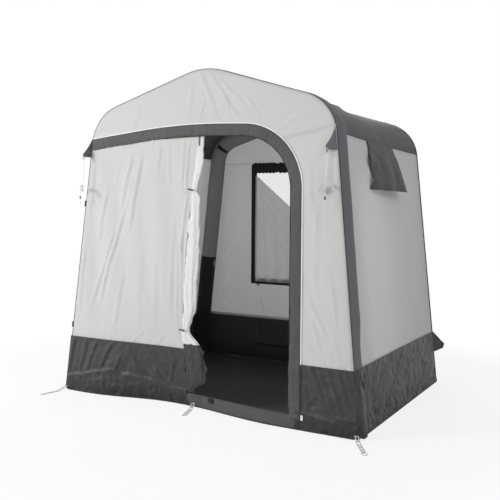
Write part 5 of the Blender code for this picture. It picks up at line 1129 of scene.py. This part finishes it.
def curtain_width(z):
    return table([(CURTAIN_FOOT, 0.060), (CURTAIN_FOOT + 0.10, 0.160), (CURTAIN_BREAK - 0.05, 0.148), (LOWER_TIE, 0.056),
                  (LOWER_TIE + 0.14, 0.104), (UPPER_TIE - 0.30, 0.102), (UPPER_TIE - 0.06, 0.078), (UPPER_TIE, 0.046),
                  (UPPER_TIE + 0.15, 0.064), (CURTAIN_TOP, 0.044)], z)


def curtain_depth(z):
    return table([(CURTAIN_FOOT, 0.012), (CURTAIN_BREAK - 0.10, 0.034), (LOWER_TIE, 0.020), (LOWER_TIE + 0.14, 0.034),
                  (UPPER_TIE - 0.12, 0.032), (UPPER_TIE, 0.018), (CURTAIN_TOP - 0.10, 0.007), (CURTAIN_TOP, 0.006)], z)


def at_tie(z):
    """The nearest tie's height, and the height whose section is used here: the tie's own all over its waist."""
    z = np.asarray(z, float)
    tie = np.where(np.abs(z - UPPER_TIE) < np.abs(z - LOWER_TIE), UPPER_TIE, LOWER_TIE)
    return tie, np.where(np.abs(z - tie) <= 0.012, tie, z)


def curtain_point(angle, z, shrink=1.0, grow=0.0, detail=0.0):
    """A point on the gathered door: lobed pleats round a flat bundle beside the seam."""
    tie, level = at_tie(z)
    wide, deep = curtain_width(level) / 2, curtain_depth(level) / 2
    lobe = 0.20 * np.minimum(1, np.abs(level - tie) / 0.048)
    pleat = 1 - lobe * (0.5 + 0.5 * np.cos(6 * angle + 5 * z)) + detail
    centre = front(seam_x(z) + CLOTH / 3 + wide, z, CLOTH / 2)
    return centre + vec((wide * pleat * shrink + grow) * np.cos(angle), (deep * pleat * shrink + grow) * np.sin(angle), 0 * z)


def make_curtain():
    """The door rolled on itself, a light cloth above and a dark one at its skirt."""
    turns = 4.6
    for name, node, low, high, finish, flat in (
        ("rolled_door", "door_curtain", CURTAIN_BREAK - 0.002, CURTAIN_TOP, "door_cloth", (0.70, 1.22)),
        ("rolled_door_skirt", "door_curtain_skirt", CURTAIN_FOOT, CURTAIN_BREAK + 0.002, "skirt_cloth", (0.72, 0.30)),
    ):
        t, z = np.meshgrid(np.linspace(0, 1, 300), steps(low, high, 0.0075), indexing="ij")
        angle = 2 * np.pi * turns * (1 - t) + 5.31
        layer = (1 - t) * turns
        shrink = 1 - 0.17 * (turns - layer)
        around = angle / (2 * np.pi) * 0.22
        wander = noise(around, z * 0.35, 0.05, 601) + 0.5 * noise(around, z * 0.5, 0.022, 602)
        loose = np.minimum(1, np.abs(z - at_tie(z)[0]) / 0.07)
        detail = 0.12 * wander * loose + 0.20 * (crumple(around, z * 0.9, 0.06, 603) - 0.5) * loose
        near_tie = np.exp(-((z - at_tie(z)[0]) / 0.07) ** 2)
        detail = detail + 0.16 * near_tie * np.sin(9 * angle + 4 * noise(around, z, 0.1, 604)) * loose
        points = curtain_point(angle, z, np.maximum(shrink, 0.16), 0.0, detail)
        if node == "door_curtain_skirt":
            detail = detail + 0.35 * (crumple(around * 1.6, z * 0.55, 0.05, 607) - 0.5) * loose
            points = curtain_point(angle, z, np.maximum(shrink, 0.16), 0.0, detail)
        else:
            foot = eased((CURTAIN_BREAK + 0.10 - z) / 0.09)
            sway, pull = 0.010 * noise(around, z, 0.05, 605), -0.004 * np.abs(noise(around, z, 0.03, 606))
            points = points + foot[..., None] * vec(sway, pull, 0 * z)
        cloth(name, points, finish, [node], points - curtain_point(angle * 0, z, 0.0), sewn="", held="gathered", cut=flat)


def lathe(name, centre, direction, profile, finish, body, nodes=(), sides=20):
    """A turned piece. profile lists (distance along the axis, radius)."""
    centre, along = np.asarray(centre, float), unit(direction)
    rows = np.array(profile, float)
    path = centre + along * rows[:, :1]
    across_way = unit(np.cross(along, [0.31, 0.47, 0.83]))
    other = np.cross(along, across_way)
    angle = np.linspace(0, 2 * np.pi, sides + 1)[:-1]
    circle = np.cos(angle)[:, None] * across_way + np.sin(angle)[:, None] * other
    verts = (path[:, None] + circle[None] * rows[:, 1][:, None, None]).reshape(-1, 3)
    faces = [[k * sides + i, k * sides + (i + 1) % sides, (k + 1) * sides + (i + 1) % sides, (k + 1) * sides + i]
             for k in range(len(rows) - 1) for i in range(sides)]
    faces += [list(range(sides))[::-1], list(range((len(rows) - 1) * sides, len(rows) * sides))]
    return mesh_piece(name, verts, faces, finish, body=body, nodes=nodes)


TOGGLE = 0.036


def toggle(name, centre, direction, body, loop_to):
    """A moulded toggle with rounded ends and a waist, held by an elastic loop through its middle."""
    r, half = 0.0045, TOGGLE / 2
    end = [(-half + r * (1 - math.cos(a)) * 0.9, r * (0.15 + 0.85 * math.sin(a))) for a in np.linspace(0, math.pi / 2, 6)]
    barrel = end + [(-r * 1.5, r), (-r * 0.8, r * 0.86), (0, r * 0.62)]
    profile = barrel + [(-d, radius) for d, radius in reversed(barrel[:-1])]
    lathe(name + "_bar", centre, direction, profile, "black_plastic", body, nodes=[name])
    centre, goal = np.asarray(centre, float), np.asarray(loop_to, float)
    way = unit(goal - centre)
    bar = unit(direction)
    up = unit(np.cross(way, bar))
    turn = np.linspace(-2.2, 2.2, 18)
    ring = centre - way * 0.0 + (np.cos(turn)[:, None] * -way + np.sin(turn)[:, None] * up) * (r * 0.62 + 0.0010)
    path = np.vstack([goal + up * 0.0015, ring, goal - up * 0.0015])
    tube(name + "_loop", path, 0.0009, "black_cloth", body=body, sides=6)


def make_ties():
    for place, height in (("upper", UPPER_TIE), ("lower", LOWER_TIE)):
        angle, z = np.meshgrid(np.radians(np.linspace(-135, 135, 80)), np.linspace(height - 0.0053, height + 0.0053, 5), indexing="ij")
        points = curtain_point(angle, z, 1.0, 2 * GAP + 0.0012 + 0.0003 * np.cos(angle * 90))
        cloth("tie_" + place, points, "door_cloth", ["tie_band_" + place], points - curtain_point(angle * 0, z, 0.0), sewn="du",
              held="stretched", thick=0.0009)
        middle = curtain_point(0.0, height, 0.0)
        spot = middle + np.array([-TOGGLE / 2, -(curtain_depth(height) / 2 + 3 * GAP + 0.0065), 0])
        toggle("tie_toggle_" + place, spot, (1, 0, -0.12), place + "_tie_toggle", spot + np.array([0.004, 0.0062, 0.001]))
    for place, height in (("upper", 1.200), ("lower", 0.425)):
        x = -half_width(height) - 0.0045 - CLOTH / 3
        spot = np.array([x, -half_depth(height) + GAP, height])
        toggle("corner_toggle_" + place, spot, (LEAN_X, LEAN_Y, 1), place + "_corner_toggle", spot + np.array([0.0045, 0, 0]))
    toggle("drape_toggle", (-0.4232, 0.74797, 0.6004), (1, 0, -0.5), "drape_toggle", (-0.4200, 0.7480, 0.6120))


# The back: wall, skirt, window and what hangs in front of it
def make_back():
    face = (0, 1, 0)
    share, climb = np.meshgrid(np.linspace(-1, 1, 164), np.linspace(0, 1, 140), indexing="ij")
    # below the shoulders the rows are level; above them they follow the arch
    shoulder = 1.55
    z = SEAM + (shoulder - SEAM) * np.minimum(climb / 0.78, 1)
    x = share * edge_x(z)
    over = np.clip((climb - 0.78) / 0.22, 0, 1)
    crown_s = ARCH.length - along_at(shoulder) - (share + 1) / 2 * (ARCH.length - 2 * along_at(shoulder))
    crown = ARCH.at(crown_s)[0]
    x = np.where(over > 0, x * (1 - over) + crown[..., 0] * over, x)
    z = np.where(over > 0, z * (1 - over) + crown[..., 1] * over, z)
    relief = 0.003 * noise(x, z, 0.35, 701) + 0.0012 * noise(x, z, 0.10, 702)
    lines = [((-0.803, 0.733), (-0.524, 1.026), 0.016, 0.005), ((-0.708, 0.616), (-0.500, 0.868), 0.014, 0.005),
             ((-0.780, 1.020), (-0.526, 1.304), 0.018, 0.004), ((-0.875, 0.380), (-0.530, 0.850), 0.014, 0.005),
             ((-0.754, 0.380), (-0.499, 0.690), 0.013, 0.005), ((-0.460, 0.590), (-0.360, 0.360), 0.014, 0.005),
             ((0.803, 0.733), (0.524, 1.026), 0.016, 0.005), ((0.875, 0.380), (0.530, 0.850), 0.016, 0.005),
             ((0.300, 0.590), (0.160, 0.370), 0.014, 0.004), ((-0.100, 0.600), (-0.180, 0.360), 0.014, 0.004),
             ((0.300, 1.900), (0.150, 1.600), 0.018, 0.004), ((-0.300, 1.900), (-0.100, 1.600), 0.018, 0.004)]
    relief += add_creases(x, z, lines, 720) + 0.0022 * eased((np.abs(x) - 0.60) / 0.10)
    relief *= eased((np.maximum(np.abs(x) - WIN_X, np.maximum(WIN_LOW - z, z - WIN_HIGH)) - 0.012) / 0.05)
    cloth("back_cloth", back(x, z, CLOTH * 0.5), "side_cloth", ["back_wall"], face, relief,
          hole=rectangle(0, -WIN_X, WIN_X, WIN_LOW, WIN_HIGH))
    # the skirt behind, with its crushed inner lining showing inside
    share, climb = np.meshgrid(np.linspace(0, 1, 200), np.linspace(0, 1, 34), indexing="ij")
    away = np.minimum(share, 1 - share) * 2.0
    z0 = corner_lift(away)
    z = z0 + (SKIRT - z0) * climb
    x = (2 * share - 1) * (half_width(z) + LIP)
    waves = 0.005 * hump(z, 0.0, SEAM) * hump(x, -0.85 * half_width(z), 0.75 * half_width(z)) * (1 + np.sin(13 * x - 9 * z)) * 0.5
    lines = [((-0.8 + 0.23 * k, 0.34), (-0.86 + 0.23 * k + 0.05 * (k % 3), 0.06), 0.012, 0.006) for k in range(8)]
    relief = waves + add_creases(x, z, lines, 740) + 0.0035 * (crumple(x, z, 0.07, 750) - 0.5) * eased(z / 0.03)
    seat = (0.90990, 0.7660, 0.2580)
    hole = disc(seat, (0, 1, LEAN_Y), 0.0192)
    cloth("back_skirt_cloth", back(x, z, LIP + CLOTH * 0.6), "skirt_cloth", ["back_skirt"], face, relief, sewn="lru", hole=hole,
          fade=0.012, held="hung")
    bottom = back((2 * share[:, 0] - 1) * (half_width(z[:, 0]) + LIP), z[:, 0] + 0.0035, LIP + CLOTH * 0.8)
    tube("back_hem", bottom, 0.0034, "edge_cloth", sides=6)


def strip(name, lo, hi, out, width_axis, nodes=(), seed=0, finish="black_cloth"):
    """A webbing strip on the back wall's inside, from lo to hi."""
    (x0, z0), (x1, z1) = lo, hi
    count = (max(4, round((x1 - x0) / 0.008)), max(4, round((z1 - z0) / 0.008)))
    x, z = np.meshgrid(np.linspace(x0, x1, count[0]), np.linspace(z0, z1, count[1]), indexing="ij")
    relief = 0.0008 * noise(x, z, 0.03, seed) + 0.0006 * noise(x, z, 0.010, seed + 1)
    return cloth(name, back(x, z, out), finish, list(nodes), (0, -1, 0), relief, sewn="lr" if width_axis == "x" else "du",
                 fade=0.004, held="laid", thick=0.0010, rests=["back_cloth"])


def make_window():
    w, f = WIN_X, WIN_FRAME
    inner = 0.012
    out = -GAP - CLOTH * 0.5
    strip("window_strip_left", (-w - f, WIN_LOW - f), (-w + inner, WIN_HIGH + f), out, "x", ["window_frame"], 801)
    strip("window_strip_right", (w - inner, WIN_LOW - f), (w + f, WIN_HIGH + f), out, "x", seed=803)
    strip("window_strip_foot", (-w + inner, WIN_LOW - f), (w - inner, WIN_LOW + inner), out, "z", seed=805)
    strip("window_strip_top", (-w + inner, WIN_HIGH - inner), (w - inner, WIN_HIGH + f), out, "z", seed=807)
    x, z = np.meshgrid(np.linspace(-w, w, 60), np.linspace(WIN_LOW, WIN_HIGH, 56), indexing="ij")
    bow = 0.0007 * noise(x, z, 0.22, 811)
    cloth("window_film_sheet", back(x, z, CLOTH * 0.5), "window_film", ["window_pane"], (0, 1, 0), bow, held="stretched")
    # the blind: cloth rolled in loose turns and puckered between its ties
    t, share = np.meshgrid(np.linspace(0, 1, 190), np.linspace(0, 1, 150), indexing="ij")
    turns = 3.4
    angle = -2 * np.pi * turns * t + 0.5 * np.pi
    x = (2 * share - 1) * (w + f / 2)
    ruck = 0.14 * np.sin(2 * np.pi * x / 0.033 + 3 * noise(x, 0 * x, 0.09, 821)) * (0.6 + 0.4 * noise(x, t, 0.2, 822))
    tied = 0.20 * np.exp(-((np.abs(np.abs(x) - 0.25)) / 0.012) ** 2)
    swell = (1 - 0.24 * t * turns) * (1 + ruck - tied)
    top = WIN_HIGH + f
    z = top - 0.026 + 0.042 * np.maximum(swell, 0.12) * np.sin(angle)
    depth = CLOTH + 2 * GAP + 0.018 - 0.0165 * np.maximum(swell, 0.12) * np.cos(angle)
    points = back(x, z, -depth)
    centre = back(x, z * 0 + top - 0.035, -CLOTH - 0.018)
    cloth("blind_roll", points, "black_cloth", ["window_blind_roll"], points - centre, sewn="lr", held="gathered",
          cut=(0.46, 0.94))
    # the inner curtain: its right top corner has dropped, so it hangs below a diagonal
    left = -w + 0.004
    foot, head, tail = WIN_LOW - 0.018, top - 0.070 * 1.1, WIN_LOW + 0.060
    share, rise = np.meshgrid(np.linspace(0, 1, 150), np.linspace(0, 1, 90), indexing="ij")
    crown = head + (tail - head) * share
    x = left + (w + f / 2 - left) * share
    z = foot + (crown - foot) * rise
    wave = 0.006 * (0.35 + 0.65 * (1 - rise)) * (1 + np.sin(19 * share * np.pi + 2.5 * rise))
    lines = [((-0.44, 1.40), (-0.10, 0.66), 0.012, 0.005), ((-0.40, 1.30), (-0.22, 0.66), 0.010, 0.005),
             ((-0.43, 1.20), (-0.34, 0.66), 0.010, 0.005), ((-0.45, 1.42), (0.18, 0.68), 0.013, 0.005),
             ((-0.30, 1.15), (0.05, 0.66), 0.010, 0.004), ((-0.2, 1.02), (0.30, 0.70), 0.010, 0.004)]
    relief = 0.9 * add_creases(x, z, lines, 830) + 0.0030 * (crumple(x, z, 0.07, 835) - 0.5)
    frill = 0.0035 * np.exp(-(z - foot) / 0.030) * np.sin(2 * np.pi * x / 0.036 + 3 * noise(x, z, 0.08, 836))
    grid = back(x, z, -(CLOTH + 3 * GAP + 0.0015 + wave + np.abs(frill)))
    cloth("inner_curtain", grid, "curtain_cloth", ["window_drape"], (0, -1, 0), relief, sewn="ld", fade=0.006, held="hung",
          cut=(0.94, 0.84), area=0.42, rests=["window_strip_left"])
    band = np.stack([x[:, -1], z[:, -1]], -1)
    line = back(band[:, 0], band[:, 1], -(CLOTH + 3 * GAP + 0.003 + wave[:, -1]))
    tube("inner_curtain_hem", line, 0.0020, "curtain_cloth", sides=6)
    # a seam across the back wall above the window, and a darker crushed pocket on the lining below it
    run = np.linspace(-edge_x(1.545) + 0.02, edge_x(1.545) - 0.02, 120)
    tube("back_seam", back(run, run * 0 + 1.548, -0.0016), 0.0013, "side_cloth", sides=6)
    strip("lining_panel", (-0.43, 0.125), (-0.11, 0.330), -0.0035, "z", seed=841, finish="skirt_cloth")


# The vent, its hood, the flap over the rear valve, the beam strap and the corner gussets
def make_vent():
    y, s = np.meshgrid(np.linspace(-0.200, 0.140, 50), np.linspace(along_at(1.400), along_at(1.531), 20), indexing="ij")
    mesh = side(s, y, -CLOTH * 0.5 - 0.0005)
    cloth("vent_netting", mesh, "mesh_cloth", ["vent_mesh"], (1, 0, 0), sewn="", held="stretched")
    rim = [side(along_at(z), y, 0.0022) for y, z in
           [(-0.200 + 0.34 * t, 1.400) for t in np.linspace(0, 1, 20)] + [(0.140, 1.400 + 0.131 * t) for t in np.linspace(0, 1, 10)[1:]]
           + [(0.140 - 0.34 * t, 1.531) for t in np.linspace(0, 1, 20)[1:]] + [(-0.200, 1.531 - 0.131 * t) for t in np.linspace(0, 1, 10)[1:-1]]]
    tube("vent_rim", rim, 0.0022, "side_cloth", sides=6, closed=True)


def hood_point(share, fall, out=0.0):
    """The hood, sewn on under the roof's edge; its front edge is slack and waves, its mouth stands off the wall."""
    y = -0.265 + 0.470 * share
    root = side(along_at(ROOF_EDGE + 0.004), y, 0.0012)
    stand = 0.014 + 0.060 * share ** 1.5 + 0.024 * np.sin(np.pi * share ** 0.8)
    belly = 0.012 * np.sin(np.pi * fall) + 0.004 * np.sin(5 * np.pi * share) * fall
    slack = np.exp(-share / 0.16) * eased(fall / 0.25)
    wave = slack * (0.010 * np.sin(2 * np.pi * fall * 2.6 + 0.8) + 0.006 * noise(fall, share, 0.12, 901))
    ripple = 0.004 * eased(fall / 0.3) * noise(share * 0.47, fall * 0.27, 0.075, 902)
    ripple = ripple + 0.0025 * (crumple(share * 0.47, fall * 0.27, 0.08, 903) - 0.5)
    x = root[..., 0] + (LEAN_X * 0.270 + stand) * fall ** 1.2 + belly + ripple * eased(fall / 0.15) + wave + out
    slide = slack * 0.016 * np.sin(2 * np.pi * fall * 1.9 - 0.5)
    return vec(x, y + slide, root[..., 2] - 0.284 * fall)


def make_hood():
    share, fall = np.meshgrid(np.linspace(0, 1, 110), np.linspace(0, 1, 66), indexing="ij")
    grid = hood_point(share, fall, CLOTH / 2)
    cloth("hood_flap", grid, "roof_cloth", ["vent_hood"], (1, 0, 0.3), sewn="lrdu", held="hung", thick=0.0012, body="vent_hood",
          rests=["right_side"])
    hem = hood_point(np.linspace(0.004, 0.996, 110), np.full(110, 0.994), CLOTH / 2)
    tube("hood_hem", hem, 0.0026, "edge_cloth", body="vent_hood", sides=6)
    front_edge = hood_point(np.full(70, 0.003), np.linspace(0.02, 0.99, 70), CLOTH / 2)
    tube("hood_side_hem", front_edge, 0.0020, "edge_cloth", body="vent_hood", sides=6)
    spot = np.array([0.89622, -0.06917, 1.30721])
    mouth = hood_point(5 / 12, 0.97)
    toggle("hood_toggle", spot, hood_point(6 / 12, 1.0) - hood_point(4 / 12, 1.0), "hood_toggle", spot + (mouth - spot) * 0.5)


def make_valve_flap():
    """The three-cornered flap of skirt cloth at the rear right corner."""
    rise = unit([-LEAN_X, -LEAN_Y, 1.0])
    beside = CLOTH + GAP + 0.0016 * 0.75
    foot = np.array([half_width(0) + beside, half_depth(0) + CLOTH * 1.5 + GAP, 0])
    reach = unit([0.45, 0.89, 0])
    high = (SKIRT - GAP) / rise[2]
    square = unit(np.cross(rise, reach))
    far, run = np.meshgrid(np.linspace(0, 1, 26), np.linspace(0, 1, 24), indexing="ij")
    low_edge, top_edge = -0.140 + (0.140 - 0.123) * far, -0.095 * far
    up = high + low_edge + (top_edge - low_edge) * run
    out = 0.105 * (far * run + far * 0.88 * (1 - run))
    wave = 0.0016 * np.sin(2 * np.pi * up / 0.055) * far + 0.0016 * noise(out, up, 0.03, 911) * far
    grid = foot + rise * up[..., None] + reach * out[..., None] + square * wave[..., None]
    cloth("flap_over_valve", grid, "skirt_cloth", ["rear_valve_flap"], -square, sewn="lrdu", fade=0.004, held="hung", thick=0.0014,
          body="rear_valve_flap")
    loop = np.vstack([grid[:, 0], grid[-1, 1:], grid[::-1, -1][1:]])
    tube("flap_edge", loop, 0.0017, "edge_cloth", body="rear_valve_flap", sides=6)


def make_beam_strap():
    """The strap round the rear sleeve at its left shoulder."""
    s = ARCH.length - along_at(EAVE - LAP) + 0.012
    angle, w = np.meshgrid(np.radians(np.linspace(280, 372, 40)), np.linspace(-0.020, 0.020, 13), indexing="ij")
    p, h = ARCH.at(s + w)
    radius = REAR_R + 0.0022
    depth = REAR_R + GAP + radius * np.cos(angle)
    inward = -CLOTH - GAP - REAR_R + radius * np.sin(angle)
    z = p[..., 1] - h[..., 0] * inward
    grid = vec(p[..., 0] + h[..., 1] * inward, half_depth(z) - GAP - depth, z)
    keep = slice(0, 40)
    cloth("sleeve_strap", grid[keep], "black_cloth", ["beam_strap"], grid[keep] - grid.mean((0, 1)), sewn="du", fade=0.004,
          held="laid", thick=0.0012)


def make_guard():
    """The dark sheath on the lower half of the rear beam's left leg."""
    angle, z = np.meshgrid(np.radians(np.linspace(215, 450, 49)), np.linspace(0.035, 0.815, 70), indexing="ij")
    s = ARCH.length - along_at(z)
    p, h = ARCH.at(s)
    radius = REAR_R + 0.0016 + 0.0009 * noise(angle * 0.06, z, 0.05, 931)
    depth = REAR_R + GAP + radius * np.cos(angle)
    inward = -CLOTH - GAP - REAR_R + radius * np.sin(angle)
    height = p[..., 1] - h[..., 0] * inward
    grid = vec(p[..., 0] + h[..., 1] * inward, half_depth(height) - GAP - depth, height)
    keep = slice(0, 49)
    cloth("beam_guard", grid[keep], "black_cloth", [], grid[keep] - grid.mean((0,), keepdims=True), sewn="du", fade=0.004,
          held="stretched", rests=["rear_sleeve"])


def guy_places():
    """Each guy: its name, its gusset's seam and tip, its facing, its hank's way and its loops."""
    lip, edge, seam = CLOTH + 2 * GAP, edge_x(1.490), np.array([1.610, 1.490])
    right_seam = front(edge_x(seam) - CLOTH, seam, lip)
    left_seam = side(along_at(seam), -half_depth(seam) + CLOTH, lip, -1)
    return [("right", right_seam, front(edge - 0.052, 1.490, 0.022), (0, -1, 0), (1, 0, 0), 6),
            ("left", left_seam, front(-edge - 0.011, 1.490, 0.052), (-1, 0, 0), (0.70, -0.714, 0), 4)]


def bezier(start, heading, end, arrival, count):
    reach = np.linalg.norm(end - start) * 0.45
    a, b = start + unit(heading) * reach, end - unit(arrival) * reach
    t = np.linspace(0, 1, count)[:, None]
    return start * (1 - t) ** 3 + a * 3 * t * (1 - t) ** 2 + b * 3 * t * t * (1 - t) + end * t**3


def guy_route(top, way, turns):
    """The line from its ring down to a hank of loops and out of it, down through the runner."""
    up, way = np.array([0, 0, 1.0]), unit(np.array(way, float))
    outward = np.cross(way, up)
    pitch, height, per = CORD + 0.0012, 0.032, 20
    end = top - up * 0.150
    waist = height * 0.27 / 2
    middle = end + way * 0.006 - up * (waist + CORD * 3)
    k = np.arange(turns * per + 1)
    turn = 2 * np.pi * k / per
    swing = np.sin(turn)
    rise = np.cos(turn) * height / 2 * (0.27 + 0.73 * swing**2) - 0.034 * swing**2
    loops = middle + swing[:, None] * way * 0.048 + rise[:, None] * up + (pitch * k / per)[:, None] * outward
    start = end - up * GAP
    lead = bezier(start - up * CORD, -up, loops[0], way, 5)[:-1]
    fall = middle + outward * pitch * (turns + 1.3) - up * (waist + CORD * 2)
    tail = bezier(loops[-1], way, fall, -up, 9)[1:]
    drop = fall - up * 0.105 * np.linspace(0, 1, 10)[1:, None]
    line = top - up * 0.150 * np.linspace(0, 1, 14)[:, None]
    return np.vstack([line, lead, loops, tail, drop]), middle


def smooth_path(p, times=2):
    """The same path with rounded corners: each segment cut at a quarter and three quarters."""
    for _ in range(times):
        p = np.vstack([p[:1], np.stack([p[:-1] * 0.75 + p[1:] * 0.25, p[:-1] * 0.25 + p[1:] * 0.75], 1).reshape(-1, 3), p[-1:]])
    return p


def rope_twist(path):
    """Radii along a laid cord, whose strands make small lumps."""
    run = np.concatenate([[0], np.cumsum(np.linalg.norm(np.diff(path, axis=0), axis=1))])
    return CORD / 2 * (1 + 0.03 * np.sin(run * 2 * np.pi / 0.004))


def make_guys():
    for name, seam, tip, facing, way, turns in guy_places():
        top, foot = seam
        rise, into = unit(top - foot), unit(foot - tip)
        beyond = tip - into * 0.007
        normal = unit(np.cross(foot - top, tip - top))
        normal = normal if normal @ facing > 0 else -normal
        along, drop = np.meshgrid(np.linspace(0, 1, 24), np.linspace(0, 1, 22), indexing="ij")
        # from the seam to the eye: its lower edge is straight, its upper one hollow
        low = foot + along[..., None] * (beyond - foot)
        high = top + along[..., None] * (beyond + rise * 0.020 - top) - rise * (0.010 * np.sin(np.pi * along))[..., None]
        grid = low + (high - low) * drop[..., None]
        bow = 0.0016 * np.sin(np.pi * drop) * np.sin(np.pi * along) + 0.0007 * noise(along * 0.05, drop * 0.1, 0.02, 921)
        middle = tip + rise * 0.004 + normal * 0.001
        grid = grid + normal * (0.001 + bow * np.minimum(1, np.linalg.norm(grid - middle, axis=-1) / 0.02))[..., None]
        cloth("gusset_" + name, grid, "sleeve_cloth", ["guy_gusset_" + name], normal, sewn="lrdu", fade=0.003, held="stretched",
              thick=0.0018, hole=disc(middle, normal, 0.0036))
        ring_at = middle + normal * 0.0002
        angle = np.linspace(0, 2 * np.pi, 29)[:-1]
        a = unit(np.cross(normal, [0.3, 0.4, 0.8]))
        b = np.cross(normal, a)
        circle = np.cos(angle)[:, None] * a + np.sin(angle)[:, None] * b
        tube("eyelet_" + name, ring_at + circle * 0.0046, 0.0009, "ring_steel", closed=True, sides=8)
        eye = middle
        hang = eye - np.array([0, 0, 0.0034 * math.cos(math.pi / 8) - 0.0015 - 2 * GAP])
        start = hang - np.array([0, 0, 2 * 0.009 + 0.0015 + GAP])
        path, _ = guy_route(start, way, turns)
        path = smooth_path(path, 1)
        length = float(np.linalg.norm(np.diff(path, axis=0), axis=1).sum())
        body = name + "_guy"
        line = tube("guy_cord_" + name, path, rope_twist(path), "guy_cord", nodes=["guy_line_" + name, "guy_hank_" + name],
                    body=body, sides=8)
        # the hitch at the ring, the frapping round the hank's waist and the stopper knot at the end
        turn = np.linspace(0, 2 * np.pi, 25)[:-1]
        side_way = np.cross(unit(np.array(facing, float)), [0, 0, 1.0])
        hitch = [start + np.array([0, 0, 0.0022]) + np.array(facing) * 0.0033 * c + np.array([0, 0, 1]) * 0.0040 * s
                 + side_way * 0.0004 * s for c, s in zip(np.cos(turn), np.sin(turn))]
        tube("guy_hitch_" + name, hitch, 0.0012, "guy_cord", body=body, closed=True, sides=8)
        collar = [(0, 0.0016), (0.0008, 0.0026), (0.002, 0.0022), (0.003, 0.0028), (0.0042, 0.0023), (0.0055, 0.0027),
                  (0.0065, 0.0016)]
        wrap = lathe("guy_lashing_" + name, start - np.array([0, 0, 0.0085]), (0, 0, 1), collar, "guy_cord", body)
        end = path[-1]
        lumps = [(-0.0005, 0.0014), (0.0004, 0.0026), (0.0016, 0.0031), (0.0026, 0.0026), (0.0036, 0.0032), (0.0048, 0.0028),
                 (0.0056, 0.0016)]
        knot = lathe("guy_knot_" + name, end + np.array([0, 0, 0.0050]), (0, 0, -1), lumps, "guy_cord", body)
        [tuple(p) for p in path]


# The moulded and metal parts keep the CAD's shapes
FINISHES = {
    "valve_plastic": ["front_valve", "rear_valve", "front_valve_cap", "rear_valve_cap"],
    "black_plastic": ["guy_ring_right", "guy_ring_left", "guy_runner_right", "guy_runner_left", "door_zip_slider", "door_zip_pull"],
    "white_plastic": ["door_zip_box"],
    "strap_rubber": ["peg_strap_right", "peg_strap_left", "peg_strap_door"],
    "ring_steel": ["peg_ring"],
}


def dress_nodes():
    for finish, names in FINISHES.items():
        for name in names:
            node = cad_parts[name]
            if not node.material_slots:
                node.data.materials.append(made_materials[finish])
            for slot in node.material_slots:
                slot.material = made_materials[finish]


make_guys()
make_sleeves()
make_walls()
make_front()
make_skirts()
make_zip()
make_curtain()
make_ties()
make_back()
make_window()
make_vent()
make_hood()
make_valve_flap()
make_beam_strap()
make_guard()
dress_nodes()

boxes = {"cad": CAD_BOX, "visual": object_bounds()}
{name: [[round(v, 5) for v in corner] for corner in box] for name, box in boxes.items()}
